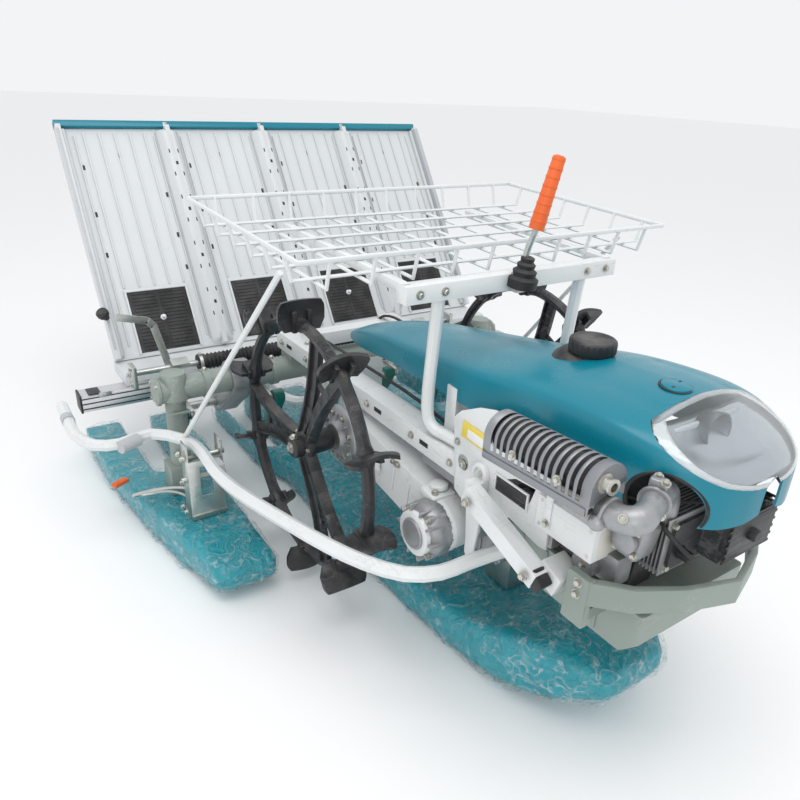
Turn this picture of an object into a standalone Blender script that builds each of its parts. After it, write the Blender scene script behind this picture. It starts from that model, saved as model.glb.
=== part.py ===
"""Walk-behind rice transplanter, four rows, resting on its three floats with the wheels raised.

Metres, +Z up.  The front looks along -Y and the machine's right side lies towards -X.
Every place is first given from the wheel axle at rest (y = 0) and the floor (z = 0);
the empty that carries all parts then moves the whole machine so that the middle of its
length lies at y = 0.
"""
import math

import bmesh
import bpy
from mathutils import Matrix, Vector

# ---------------------------------------------------------------- driving dimensions
SEAT_GAP = 0.0003            # between two pieces that touch
RUN_GAP = 0.0006             # between a pin and its bore

ROW_PITCH = 0.300            # between two planted rows

FLOAT_REAR_Y = 0.860
FLOAT_SLOT_FRONT_Y = 0.480   # the slots in which the claws work
FLOAT_SLOT_WIDTH = 0.080
CENTRE_FLOAT_NOSE_Y = -0.655
CENTRE_FLOAT_HALF = 0.175
SIDE_FLOAT_FRONT_Y = -0.005
SIDE_FLOAT_INNER_X = 0.366
SIDE_FLOAT_OUTER_X = 0.600
FLOAT_DECK_Z = 0.086

WHEEL_X = 0.300              # middle of each wheel
WHEEL_RADIUS = 0.305         # over the lugs
WHEEL_RING_RADIUS = 0.256
WHEEL_RING_TUBE = 0.013
WHEEL_LUGS = 10
WHEEL_LUG_WIDTH = 0.100
WHEEL_LUG_THICK = 0.020
FIRST_LUG_ANGLE = 20.0
AXLE_Z = 0.334
SPOKE_ANGLES = (-56.0, 64.0, 184.0)

LIFT_PIVOT_Y = -0.325        # the arm that carries a wheel turns here
LIFT_PIVOT_Z = 0.295
TRANSMISSION_FRONT_Y = -0.395
TRANSMISSION_LOW_Z = 0.205
PIVOT_DRUM_RADIUS = 0.052
FINAL_DRIVE_RADIUS = 0.066

RAIL_X = 0.150               # the two long members of the frame
RAIL_WIDTH = 0.050
RAIL_TOP_Z = 0.437
RAIL_HEIGHT = 0.042
RAIL_FRONT_Y = -0.430
RAIL_REAR_Y = 0.400

CROSS_TUBE_Y = 0.360         # carries the planting gear
CROSS_TUBE_Z = 0.350
CROSS_TUBE_RADIUS = 0.030
CROSS_TUBE_HALF = 0.490
PILLAR_X = 0.455

CRANK_Y = 0.460
CRANK_Z = 0.250
CRANK_RADIUS = 0.045
CRANK_SHAFT_RADIUS = 0.010
CRANK_PIN_RADIUS = 0.007
CRANK_WEB = 0.010
CLAW_TIP_Y = 0.556           # with the crank level
CLAW_TIP_Z = 0.076

SLIDE_RAIL_HALF = 0.620
SLIDE_RAIL_FRONT_Y = 0.615
SLIDE_RAIL_DEPTH = 0.050
SLIDE_RAIL_LOW_Z = 0.215
SLIDE_RAIL_HEIGHT = 0.047

TRAY_WIDTH = 1.210
TRAY_LENGTH = 0.678          # along its slope
TRAY_SLOPE = math.radians(55.2)
TRAY_LOW_Y = 0.725
TRAY_LOW_Z = 0.298
TRAY_SHIFT = 0.101           # the tray rests part way along its stroke
TRAY_SHEET = 0.012
TRAY_WALL = 0.026
BELT_WIDTH = 0.165
BELT_LOW = 0.012
BELT_HIGH = 0.186

RACK_WIDTH = 0.811
RACK_FRONT_Y = -0.217
RACK_REAR_Y = 0.241
RACK_FRONT_Z = 0.730
RACK_REAR_Z = 0.749
RACK_RIM = 0.042
RACK_WIRE = 0.0038
RACK_ACROSS = 6
RACK_ALONG = 10
CROSSBAR_Y = -0.248
CROSSBAR_Z = 0.709
CROSSBAR_SIZE = 0.030
CROSSBAR_HALF = 0.2465
LEG_X = 0.169
LEG_RADIUS = 0.0115

GUARD_RADIUS = 0.0135
STAY_RADIUS = 0.0055
GUARD_Z = 0.262              # middle of the tube beside the slide rail
GUARD_HALF = 0.671           # middle of the tube where the guard is widest

HOOD_WALL = 0.004
HOOD_STATIONS = (            # y, half width, lower edge, ridge
    (0.281, 0.030, 0.434, 0.454),
    (0.190, 0.062, 0.448, 0.496),
    (0.060, 0.090, 0.472, 0.536),
    (-0.074, 0.110, 0.492, 0.558),
    (-0.279, 0.134, 0.508, 0.594),
    (-0.443, 0.148, 0.516, 0.632),
    (-0.570, 0.152, 0.519, 0.645),
    (-0.650, 0.146, 0.516, 0.642),
    (-0.715, 0.126, 0.512, 0.622),
    (-0.755, 0.092, 0.510, 0.603),
    (-0.772, 0.052, 0.513, 0.588),
    (-0.777, 0.020, 0.522, 0.575),
)
HOOD_ARCH_POINTS = 12
EXHAUST_ARCH_Y = -0.703      # the arched opening in the hood's right side
EXHAUST_ARCH_Z = 0.530
EXHAUST_ARCH_RADIUS = 0.047
LENS_REAR_Y = -0.645         # where the lens starts, and the height of its lower edge there
LENS_REAR_Z = 0.625
LENS_RISE = math.radians(25.0)

FUEL_CAP_Y = -0.443
FUEL_CAP_RADIUS = 0.044
FUEL_CAP_TOP_Z = 0.659

ENGINE_HALF = 0.118
ENGINE_FRONT_Y = -0.655
ENGINE_REAR_Y = -0.440
ENGINE_LOW_Z = 0.345
ENGINE_TOP_Z = 0.490
SIDE_PLATE_X = 0.1775
SIDE_PLATE = 0.004

BUMPER_FRONT_Y = -0.775
BUMPER_REAR_Y = -0.630
BUMPER_HALF = 0.195
BUMPER_LOW_Z = 0.362
BUMPER_HEIGHT = 0.040
BUMPER_WALL = 0.010

PAN_HALF = 0.125
PAN_LOW_Z = 0.262
PAN_FRONT_Y = -0.715
PAN_REAR_Y = -0.4305

MUFFLER_FRONT_Y = -0.682
MUFFLER_REAR_Y = -0.480
MUFFLER_X = 0.217
MUFFLER_Z = 0.569
MUFFLER_RADIUS = 0.033
MUFFLER_LOW_Z = 0.534
MUFFLER_RISE = math.radians(3.0)
EXHAUST_RADIUS = 0.0165

FOOT_ARM_X = 0.215
FOOT_PAD_X = 0.180

LEVER_RADIUS = 0.0055

HANDLE_RADIUS = 0.014
GRIP_RADIUS = 0.018
GRIP_END_Y = 1.350
GRIP_X = 0.270
GRIP_Z = 0.790

SIDES = {"right": -1, "left": 1}

# ---------------------------------------------------------------- scene and materials
for old in list(bpy.data.objects):
    bpy.data.objects.remove(old, do_unlink=True)

PARTS = bpy.data.collections.new("rice_transplanter")
CUTTERS = bpy.data.collections.new("cutters")
for collection in (PARTS, CUTTERS):
    bpy.context.scene.collection.children.link(collection)


def make_material(name, colour, roughness, metallic=0.0):
    material = bpy.data.materials.new(name)
    material.use_nodes = True
    shader = material.node_tree.nodes["Principled BSDF"]
    shader.inputs["Base Color"].default_value = (*colour, 1.0)
    shader.inputs["Roughness"].default_value = roughness
    shader.inputs["Metallic"].default_value = metallic
    material.diffuse_color = (*colour, 1.0)
    return material


TEAL = make_material("teal_plastic", (0.0, 0.20, 0.28), 0.3)
FLOAT_BLUE = make_material("float_plastic", (0.0, 0.22, 0.30), 0.4)
WHITE = make_material("white_paint", (0.80, 0.81, 0.79), 0.35)
GREY_GREEN = make_material("grey_green_paint", (0.24, 0.29, 0.25), 0.45)
BLACK = make_material("black_rubber", (0.015, 0.015, 0.017), 0.7)
DARK_STEEL = make_material("dark_steel", (0.03, 0.03, 0.035), 0.5, 0.6)
ALUMINIUM = make_material("cast_aluminium", (0.55, 0.56, 0.57), 0.4, 0.9)
ZINC = make_material("zinc_plate", (0.60, 0.62, 0.58), 0.35, 0.9)
ORANGE = make_material("orange_grip", (0.75, 0.12, 0.01), 0.5)
CLEAR = make_material("clear_lens", (0.85, 0.88, 0.90), 0.05)
GREEN = make_material("green_paint", (0.0, 0.22, 0.16), 0.45)


# ---------------------------------------------------------------- modelling helpers
def place(mesh, name, location=(0, 0, 0), rotation=(0, 0, 0)):
    obj = bpy.data.objects.new(name, mesh)
    PARTS.objects.link(obj)
    obj.location = location
    obj.rotation_euler = rotation
    bpy.context.view_layer.update()
    return obj


def remove(obj):
    bpy.data.objects.remove(obj, do_unlink=True)


def bake(obj):
    """Replace an object, curve or modified mesh, by the plain closed mesh it evaluates to."""
    bpy.context.view_layer.update()
    graph = bpy.context.evaluated_depsgraph_get()
    mesh = bpy.data.meshes.new_from_object(obj.evaluated_get(graph))
    shape = bmesh.new()
    shape.from_mesh(mesh)
    bmesh.ops.remove_doubles(shape, verts=shape.verts, dist=0.000002)
    shape.to_mesh(mesh)
    shape.free()
    name = obj.name
    obj.name = name + "_old"
    baked = bpy.data.objects.new(name, mesh)
    PARTS.objects.link(baked)
    baked.matrix_world = obj.matrix_world
    remove(obj)
    bpy.context.view_layer.update()
    return baked


def boolean(obj, tool, operation, keep_tool=False):
    modifier = obj.modifiers.new(operation.lower(), "BOOLEAN")
    modifier.operation = operation
    modifier.object = tool
    obj = bake(obj)
    if not keep_tool:
        remove(tool)
    return obj


def join(obj, *others):
    for other in others:
        obj = boolean(obj, other, "UNION")
    return obj


def cut(obj, *tools):
    for tool in tools:
        obj = boolean(obj, tool, "DIFFERENCE")
    return obj


def largest_piece(obj):
    """Drop the slivers that a cut leaves loose."""
    shape = bmesh.new()
    shape.from_mesh(obj.data)
    left = set(shape.faces)
    groups = []
    while left:
        group = {left.pop()}
        front = list(group)
        while front:
            face = front.pop()
            for edge in face.edges:
                for other in edge.link_faces:
                    if other in left:
                        left.remove(other)
                        group.add(other)
                        front.append(other)
        groups.append(group)
    groups.sort(key=lambda faces: sum(face.calc_area() for face in faces))
    loose = [face for group in groups[:-1] for face in group]
    bmesh.ops.delete(shape, geom=loose, context="FACES")
    stray = [vert for vert in shape.verts if not vert.link_faces]
    bmesh.ops.delete(shape, geom=stray, context="VERTS")
    shape.to_mesh(obj.data)
    shape.free()
    return obj


def clear_of(obj, *neighbours, gap=SEAT_GAP):
    """Cut an object back so that it keeps the gap to the neighbours it meets."""
    for neighbour in neighbours:
        swollen = place(neighbour.data.copy(), "swollen")
        swollen.matrix_world = neighbour.matrix_world
        shape = bmesh.new()
        shape.from_mesh(swollen.data)
        shape.normal_update()
        moves = [(vert, vert.normal * gap * min(vert.calc_shell_factor(), 3.0)) for vert in shape.verts]
        for vert, move in moves:
            vert.co += move
        shape.to_mesh(swollen.data)
        shape.free()
        obj = boolean(obj, swollen, "DIFFERENCE")
    return largest_piece(obj)


def set_origin(obj, pivot):
    """Put a moving piece's origin on its joint's axis."""
    obj.data.transform(Matrix.Translation(-Vector(pivot)) @ obj.matrix_world)
    obj.matrix_world = Matrix.Translation(Vector(pivot))


def finish(obj, material, smooth=False):
    obj.data.materials.clear()
    obj.data.materials.append(material)
    if smooth:
        obj.data.shade_smooth()
        obj.data.set_sharp_from_angle(angle=math.radians(35))
    return obj


def block(name, centre, size, tilt=(0, 0, 0), bevel=0.0):
    mesh = bpy.data.meshes.new(name)
    shape = bmesh.new()
    bmesh.ops.create_cube(shape, size=1.0, matrix=Matrix.Diagonal((*size, 1.0)))
    if bevel:
        bmesh.ops.bevel(shape, geom=shape.edges[:], offset=bevel, segments=2, affect="EDGES")
    shape.to_mesh(mesh)
    shape.free()
    return place(mesh, name, centre, tilt)


def span(name, low, high, bevel=0.0):
    """A block from its lowest to its highest corner."""
    low, high = Vector(low), Vector(high)
    return block(name, (low + high) / 2, high - low, bevel=bevel)


def rod(name, start, end, radius, sides=16, end_radius=None):
    start, end = Vector(start), Vector(end)
    mesh = bpy.data.meshes.new(name)
    shape = bmesh.new()
    bmesh.ops.create_cone(shape, cap_ends=True, segments=sides, radius1=radius,
                          radius2=radius if end_radius is None else end_radius,
                          depth=(end - start).length)
    shape.to_mesh(mesh)
    shape.free()
    turn = (end - start).to_track_quat("Z", "Y").to_euler()
    return place(mesh, name, (start + end) / 2, turn)


def smooth_path(points, steps):
    """Points on a Catmull-Rom curve through the given ones."""
    points = [Vector(point) for point in points]
    ends = [2 * points[0] - points[1], *points, 2 * points[-1] - points[-2]]
    path = []
    for a, b, c, d in zip(ends, ends[1:], ends[2:], ends[3:]):
        for step in range(steps):
            t = step / steps
            path.append(0.5 * (2 * b + (c - a) * t + (2 * a - 5 * b + 4 * c - d) * t ** 2
                               + (3 * b - a - 3 * c + d) * t ** 3))
    return [*path, points[-1]]


def tube(name, points, radius, closed=False, sides=8):
    curve = bpy.data.curves.new(name, "CURVE")
    curve.dimensions = "3D"
    curve.bevel_depth = radius
    curve.bevel_resolution = sides // 2 - 2
    curve.use_fill_caps = True
    spline = curve.splines.new("POLY")
    spline.points.add(len(points) - 1)
    for point, place_ in zip(spline.points, points):
        point.co = (*place_, 1.0)
    spline.use_cyclic_u = closed
    return bake(place(curve, name))


def outline(name, points, thickness, plane, middle):
    """A flat outline in plane "yz", "xz" or "xy", with its thickness about the middle."""
    curve = bpy.data.curves.new(name, "CURVE")
    curve.dimensions = "2D"
    curve.fill_mode = "BOTH"
    curve.extrude = thickness / 2
    spline = curve.splines.new("POLY")
    spline.points.add(len(points) - 1)
    for point, (u, v) in zip(spline.points, points):
        point.co = (u, v, 0.0, 1.0)
    spline.use_cyclic_u = True
    quarter = math.pi / 2
    turn = {"yz": (quarter, 0, quarter), "xz": (quarter, 0, 0), "xy": (0, 0, 0)}[plane]
    where = {"yz": (middle, 0, 0), "xz": (0, middle, 0), "xy": (0, 0, middle)}[plane]
    return bake(place(curve, name, where, turn))


def turned(name, profile, location, steps=24):
    """A turned shape about Z from its radius and height, listed from the top down."""
    mesh = bpy.data.meshes.new(name)
    shape = bmesh.new()
    verts = [shape.verts.new((radius, 0, height)) for radius, height in profile]
    for a, b in zip(verts, verts[1:]):
        shape.edges.new((a, b))
    shape.to_mesh(mesh)
    shape.free()
    obj = place(mesh, name, location)
    screw = obj.modifiers.new("turn", "SCREW")
    screw.steps = steps
    screw.render_steps = steps
    screw.use_merge_vertices = True
    screw.merge_threshold = 0.00001
    return bake(obj)


def arc(centre, radius, start, end, steps):
    """Points on an arc, angles in degrees."""
    points = []
    for step in range(steps + 1):
        angle = math.radians(start + (end - start) * step / steps)
        points.append((centre[0] + radius * math.cos(angle), centre[1] + radius * math.sin(angle)))
    return points


def capsule(a, b, radius_a, radius_b, steps=6):
    """The outline round two circles, for arms and cases."""
    a, b = Vector(a), Vector(b)
    heading = math.degrees(math.atan2(b.y - a.y, b.x - a.x))
    return (arc(b, radius_b, heading - 90, heading + 90, steps)
            + arc(a, radius_a, heading + 90, heading + 270, steps))


def mirrored(points):
    return [(-x, *rest) for x, *rest in points]


# ---------------------------------------------------------------- floats
def float_profile(nose_y, nose_low, nose_high, lift_y):
    """Side outline of a float: flat below, its nose lifted."""
    bottom = [(FLOAT_REAR_Y, 0.0), (lift_y, 0.0)]
    run = nose_y - lift_y
    for share in (0.35, 0.65, 0.88, 1.0):
        bottom.append((lift_y + run * share, nose_low * share ** 2))
    nose = (nose_low + nose_high) / 2
    top = [(nose_y - 0.012, nose), (nose_y, nose_high), (lift_y + run * 0.6, nose_high + 0.006),
           (lift_y, FLOAT_DECK_Z + 0.012), (lift_y + 0.25, FLOAT_DECK_Z), (FLOAT_REAR_Y, FLOAT_DECK_Z - 0.02)]
    return bottom + top


def claw_slots(xs):
    return [span("slot", (x - FLOAT_SLOT_WIDTH / 2, FLOAT_SLOT_FRONT_Y, -0.1),
                 (x + FLOAT_SLOT_WIDTH / 2, FLOAT_REAR_Y + 0.1, 0.3)) for x in xs]


def centre_float():
    side = float_profile(CENTRE_FLOAT_NOSE_Y, 0.080, 0.148, -0.360)
    body = outline("centre_float", side, 1.0, "yz", 0.0)
    half = CENTRE_FLOAT_HALF
    nose_y = CENTRE_FLOAT_NOSE_Y - 0.02
    edge = [(half * 0.36, nose_y), (half * 0.66, nose_y + 0.075), (half * 0.84, nose_y + 0.165),
            (half * 0.95, nose_y + 0.285), (half, nose_y + 0.44), (half, 0.36), (half + 0.03, 0.46),
            (half + 0.03, FLOAT_REAR_Y + 0.1)]
    plan = outline("plan", edge + mirrored(edge)[::-1], 1.0, "xy", 0.0)
    body = boolean(body, plan, "INTERSECT")
    body = cut(body, *claw_slots((-ROW_PITCH / 2, ROW_PITCH / 2)))
    return finish(body, FLOAT_BLUE)


def side_float(side, sign):
    profile = float_profile(SIDE_FLOAT_FRONT_Y, 0.030, 0.090, 0.140)
    body = outline("side_float_" + side, profile, 2.0, "yz", 0.0)
    inner, outer = SIDE_FLOAT_INNER_X, SIDE_FLOAT_OUTER_X
    front = SIDE_FLOAT_FRONT_Y - 0.02
    edge = [(inner, front), (inner + 0.112, front), (inner + 0.140, front + 0.03),
            (outer - 0.03, 0.40), (outer - 0.01, 0.60), (outer - 0.01, FLOAT_REAR_Y + 0.1),
            (inner - 0.045, FLOAT_REAR_Y + 0.1), (inner - 0.045, 0.42), (inner, 0.35)]
    plan = outline("plan", [(sign * x, y) for x, y in edge], 1.0, "xy", 0.0)
    body = boolean(body, plan, "INTERSECT")
    body = cut(body, *claw_slots((sign * 1.5 * ROW_PITCH,)))
    return finish(body, FLOAT_BLUE)


# ---------------------------------------------------------------- frame
def main_frame():
    low = RAIL_TOP_Z - RAIL_HEIGHT
    rails = [span("rail", (sign * RAIL_X - RAIL_WIDTH / 2, RAIL_FRONT_Y, low),
                  (sign * RAIL_X + RAIL_WIDTH / 2, RAIL_REAR_Y, RAIL_TOP_Z)) for sign in (-1, 1)]
    members = [span("member", (-RAIL_X, y - 0.02, low + 0.004), (RAIL_X, y + 0.02, RAIL_TOP_Z - 0.004))
               for y in (RAIL_FRONT_Y + 0.03, RAIL_REAR_Y - 0.04)]
    posts = [span("post", (sign * x - 0.006, y - 0.014, RAIL_TOP_Z - 0.01), (sign * x + 0.006, y + 0.014,
                                                                             0.53))
             for sign in (-1, 1) for x, y in ((0.1285, -0.26), (0.1400, -0.415))]
    frame = join(*rails, *members, *posts)
    frame.name = "main_frame"
    return finish(frame, WHITE)


def transmission():
    top = RAIL_TOP_Z - RAIL_HEIGHT - SEAT_GAP
    case = span("transmission", (-0.105, TRANSMISSION_FRONT_Y, TRANSMISSION_LOW_Z), (0.105, -0.195, top),
                bevel=0.008)
    ears = span("ears", (-RAIL_X - 0.020, -0.360, top - 0.020), (RAIL_X + 0.020, -0.230, top))
    outputs = rod("outputs", (-0.1345, LIFT_PIVOT_Y, LIFT_PIVOT_Z), (0.1345, LIFT_PIVOT_Y, LIFT_PIVOT_Z),
                  0.050, 20)
    return finish(join(case, ears, outputs), ALUMINIUM)


def cross_tube():
    beam = rod("cross_tube", (-CROSS_TUBE_HALF, CROSS_TUBE_Y, CROSS_TUBE_Z),
               (CROSS_TUBE_HALF, CROSS_TUBE_Y, CROSS_TUBE_Z), CROSS_TUBE_RADIUS, 20)
    lugs = [span("lug", (sign * RAIL_X - 0.02, CROSS_TUBE_Y - 0.028, CROSS_TUBE_Z),
                 (sign * RAIL_X + 0.02, CROSS_TUBE_Y + 0.028, RAIL_TOP_Z - RAIL_HEIGHT - SEAT_GAP))
            for sign in (-1, 1)]
    return finish(join(beam, *lugs), GREY_GREEN, smooth=True)


def beam_seat(x):
    """The bore that a piece at x needs to sit on the cross tube."""
    return rod("beam_seat", (x - 0.1, CROSS_TUBE_Y, CROSS_TUBE_Z), (x + 0.1, CROSS_TUBE_Y, CROSS_TUBE_Z),
               CROSS_TUBE_RADIUS + 2 * SEAT_GAP, 20)


def end_pillar(side, sign, float_):
    x = sign * PILLAR_X
    body = rod("end_pillar_" + side, (x, CROSS_TUBE_Y - 0.002, 0.150), (x, CROSS_TUBE_Y - 0.002, 0.385), 0.024,
               16)
    cap = rod("cap", (x, CROSS_TUBE_Y - 0.002, 0.330), (x, CROSS_TUBE_Y - 0.002, 0.392), 0.036, 16, 0.028)
    foot = span("foot", (x - 0.035, CROSS_TUBE_Y - 0.035, FLOAT_DECK_Z - 0.005), (x + 0.035,
                                                                                  CROSS_TUBE_Y + 0.025, 0.160))
    return finish(clear_of(cut(join(body, cap, foot), beam_seat(x)), float_), GREY_GREEN, smooth=True)


def float_post(float_):
    """Front link of the centre float, under the transmission."""
    post = span("float_post", (-0.030, LIFT_PIVOT_Y - 0.035, FLOAT_DECK_Z), (0.030, LIFT_PIVOT_Y + 0.035,
                                                                             TRANSMISSION_LOW_Z - SEAT_GAP))
    return finish(clear_of(post, float_), ZINC)


# ---------------------------------------------------------------- wheels and lift arms
def on_wheel(radius, angle):
    """A place in the wheel's plane, the angle measured up from straight ahead."""
    turn = math.radians(angle)
    return -radius * math.cos(turn), AXLE_Z + radius * math.sin(turn)


def wheel_ring(side, sign):
    bpy.ops.mesh.primitive_torus_add(major_radius=WHEEL_RING_RADIUS, minor_radius=WHEEL_RING_TUBE,
                                     major_segments=36, minor_segments=8,
                                     location=(sign * WHEEL_X, 0, AXLE_Z), rotation=(0, math.pi / 2, 0))
    ring = bpy.context.active_object
    ring.name = "wheel_ring_" + side
    for collection in list(ring.users_collection):
        collection.objects.unlink(ring)
    PARTS.objects.link(ring)
    for lug in range(WHEEL_LUGS):
        angle = FIRST_LUG_ANGLE + 360 / WHEEL_LUGS * lug
        y, z = on_wheel((WHEEL_RADIUS + WHEEL_RING_RADIUS) / 2 - 0.006, angle)
        height = WHEEL_RADIUS - WHEEL_RING_RADIUS + 0.012
        paddle = block("paddle", (sign * WHEEL_X, y, z), (WHEEL_LUG_WIDTH, height, WHEEL_LUG_THICK),
                       (-math.radians(angle), 0, 0))
        ring = join(ring, paddle)
    return finish(ring, BLACK, smooth=True)


def wheel_spider(side, sign, ring):
    """Hub, three forked spokes and their seats on the ring."""
    x = sign * WHEEL_X
    inner = sign * (WHEEL_X - 0.0647)
    hub = rod("wheel_spider_" + side, (inner, 0, AXLE_Z), (x + sign * 0.030, 0, AXLE_Z), 0.032, 20)
    reach = WHEEL_RING_RADIUS - 0.004
    for angle in SPOKE_ANGLES:
        fork = [(0.020, -0.028), (0.105, -0.024), (reach, -0.058), (reach, -0.036), (0.130, -0.010),
                (0.130, 0.010), (reach, 0.036), (reach, 0.058), (0.105, 0.024), (0.020, 0.028)]
        turn = math.radians(angle)
        points = [(-r * math.cos(turn) + s * math.sin(turn), AXLE_Z + r * math.sin(turn) + s * math.cos(turn))
                  for r, s in fork]
        hub = join(hub, outline("spoke", points, 0.008, "yz", x))
    return finish(clear_of(hub, ring), DARK_STEEL, smooth=True)


def lift_arm(side, sign):
    """Chain case from the pivot to the axle, with the final drive and the pivot drum."""
    middle = 0.165
    case = outline("swing_case_" + side,
                   capsule((LIFT_PIVOT_Y, LIFT_PIVOT_Z), (0.0, AXLE_Z), 0.050, 0.048,
                           10), 0.060, "yz", sign * middle)
    drive = rod("final_drive_" + side, (sign * 0.1953, 0, AXLE_Z), (sign * 0.2350, 0, AXLE_Z),
                FINAL_DRIVE_RADIUS, 24,
                FINAL_DRIVE_RADIUS - 0.008)
    drum = rod("pivot_drum", (sign * 0.1900, LIFT_PIVOT_Y, LIFT_PIVOT_Z),
               (sign * 0.2500, LIFT_PIVOT_Y, LIFT_PIVOT_Z), PIVOT_DRUM_RADIUS, 20, PIVOT_DRUM_RADIUS - 0.010)
    mouth = rod("mouth", (sign * 0.2250, LIFT_PIVOT_Y, LIFT_PIVOT_Z), (sign * 0.2700, LIFT_PIVOT_Y,
                                                                       LIFT_PIVOT_Z),
                0.022, 16)
    case = cut(join(case, drum), mouth)
    pivot = (sign * middle, LIFT_PIVOT_Y, LIFT_PIVOT_Z)
    for obj, material in ((case, WHITE), (drive, DARK_STEEL)):
        set_origin(obj, pivot)
        finish(obj, material, smooth=True)


# ---------------------------------------------------------------- engine end
def engine():
    body = span("engine_block", (-ENGINE_HALF, ENGINE_FRONT_Y, ENGINE_LOW_Z),
                (ENGINE_HALF, ENGINE_REAR_Y, ENGINE_TOP_Z), bevel=0.012)
    head = span("head", (-0.105, -0.715, 0.410), (0.060, ENGINE_FRONT_Y + 0.02, 0.500), bevel=0.008)
    cleaner = span("cleaner", (-0.030, -0.752, 0.418), (0.098, -0.650, 0.498), bevel=0.010)
    starter = rod("starter", (ENGINE_HALF - 0.01, -0.530, 0.427), (ENGINE_HALF + 0.036, -0.530, 0.427), 0.075,
                  24, 0.064)
    link = span("link", (-0.06, ENGINE_REAR_Y - 0.01, ENGINE_LOW_Z + 0.005), (0.06,
                                                                              TRANSMISSION_FRONT_Y - SEAT_GAP, 0.388),
                bevel=0.004)
    return finish(join(body, head, cleaner, starter, link), DARK_STEEL)


def front_pan():
    side = [(PAN_FRONT_Y, PAN_LOW_Z + 0.028), (PAN_FRONT_Y + 0.025, PAN_LOW_Z), (PAN_REAR_Y - 0.070,
                                                                                 PAN_LOW_Z),
            (PAN_REAR_Y, PAN_LOW_Z + 0.028), (PAN_REAR_Y, ENGINE_LOW_Z - SEAT_GAP),
            (PAN_FRONT_Y, ENGINE_LOW_Z - SEAT_GAP)]
    return finish(outline("front_pan", side, 2 * PAN_HALF, "yz", 0.0), GREY_GREEN)


def bumper():
    """A flat band that loops round the nose, with a plate at each end that is webbed to the pan."""
    half, wall, rear = BUMPER_HALF, BUMPER_WALL, BUMPER_REAR_Y
    right = [(-half, rear), (-half, rear - 0.035), (-half + 0.045, rear - 0.082), (-half + 0.110,
                                                                                   rear - 0.118)]
    path = right + [(0.0, BUMPER_FRONT_Y)] + mirrored(right)[::-1]
    inside = [(x * (half - wall) / half, y + wall) for x, y in path]
    inside[0] = (path[0][0] + wall, path[0][1])
    inside[-1] = (path[-1][0] - wall, path[-1][1])
    band = outline("bumper", path + inside[::-1], BUMPER_HEIGHT, "xy", BUMPER_LOW_Z + BUMPER_HEIGHT / 2)
    for sign in (-1, 1):
        ends = sorted((sign * (half + 0.001), sign * (half - wall - 0.002)))
        plate = span("plate", (ends[0], rear - 0.037, ENGINE_LOW_Z - 0.025),
                     (ends[1], rear + 0.003, BUMPER_LOW_Z + BUMPER_HEIGHT + 0.002))
        ends = sorted((sign * (half - wall / 2), sign * PAN_HALF))
        web = span("web", (ends[0], rear - 0.030, ENGINE_LOW_Z - 0.023), (ends[1], rear - 0.005,
                                                                          ENGINE_LOW_Z - 0.003))
        band = join(band, plate, web)
    return band


def engine_side_plate():
    """White side plate with its round hole, its window and the leg that the guard tube bolts to."""
    shape = [(-0.326, 0.509), (-0.343, 0.528), (-0.386, 0.551), (-0.423, 0.562), (-0.500, 0.560), (-0.560,
                                                                                                   0.520),
             (-0.567, 0.389), (-0.553, 0.386), (-0.483, 0.398), (-0.415, 0.354), (-0.409, 0.275),
             *arc((-0.397, 0.272), 0.012, 190, 350, 4), (-0.385, 0.300), (-0.378, 0.362), (-0.343, 0.377)]
    plate = outline("engine_side_plate", shape[::-1], SIDE_PLATE, "yz", -SIDE_PLATE_X)
    window = outline("window", [(-0.437, 0.444), (-0.487, 0.472), (-0.530, 0.476), (-0.522, 0.447), (-0.456,
                                                                                                     0.431)],
                     0.020, "yz", -SIDE_PLATE_X)
    hole = rod("hole", (-SIDE_PLATE_X - 0.02, -0.360, 0.438), (-SIDE_PLATE_X + 0.02, -0.360, 0.438), 0.014,
               20)
    foot = span("foot", (-SIDE_PLATE_X, RAIL_FRONT_Y + 0.015, RAIL_TOP_Z - RAIL_HEIGHT + 0.004),
                (-RAIL_X - RAIL_WIDTH / 2 + 0.020, RAIL_FRONT_Y + 0.055, RAIL_TOP_Z - 0.030))
    return join(cut(plate, hole, window), foot, engine_cover())


def engine_cover():
    return span("cover", (-SIDE_PLATE_X - 0.010, -0.655, 0.425), (-ENGINE_HALF - SEAT_GAP, -0.545, 0.480))


def foot_arm(side, sign, carrier_x):
    """Square arm at each side of the engine, clamped to its carrier, with a rubber block inside its end."""
    start, end = Vector((sign * FOOT_ARM_X, -0.425, 0.426)), Vector((sign * FOOT_ARM_X, -0.594, 0.367))
    clamp = span("clamp", (sign * (carrier_x + SEAT_GAP), -0.428, 0.398), (sign * (FOOT_ARM_X - 0.005), -0.404,
                                                                           0.436))
    heading = math.atan2(end.z - start.z, end.y - start.y)
    arm = block("foot_arm_" + side, (start + end) / 2, (0.028, (end - start).length, 0.030), (heading, 0, 0))
    pad = block("foot_pad", (sign * FOOT_PAD_X, -0.598, 0.368), (0.046, 0.042, 0.036), (heading, 0, 0))
    return finish(join(arm, clamp, pad), WHITE)


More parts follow.
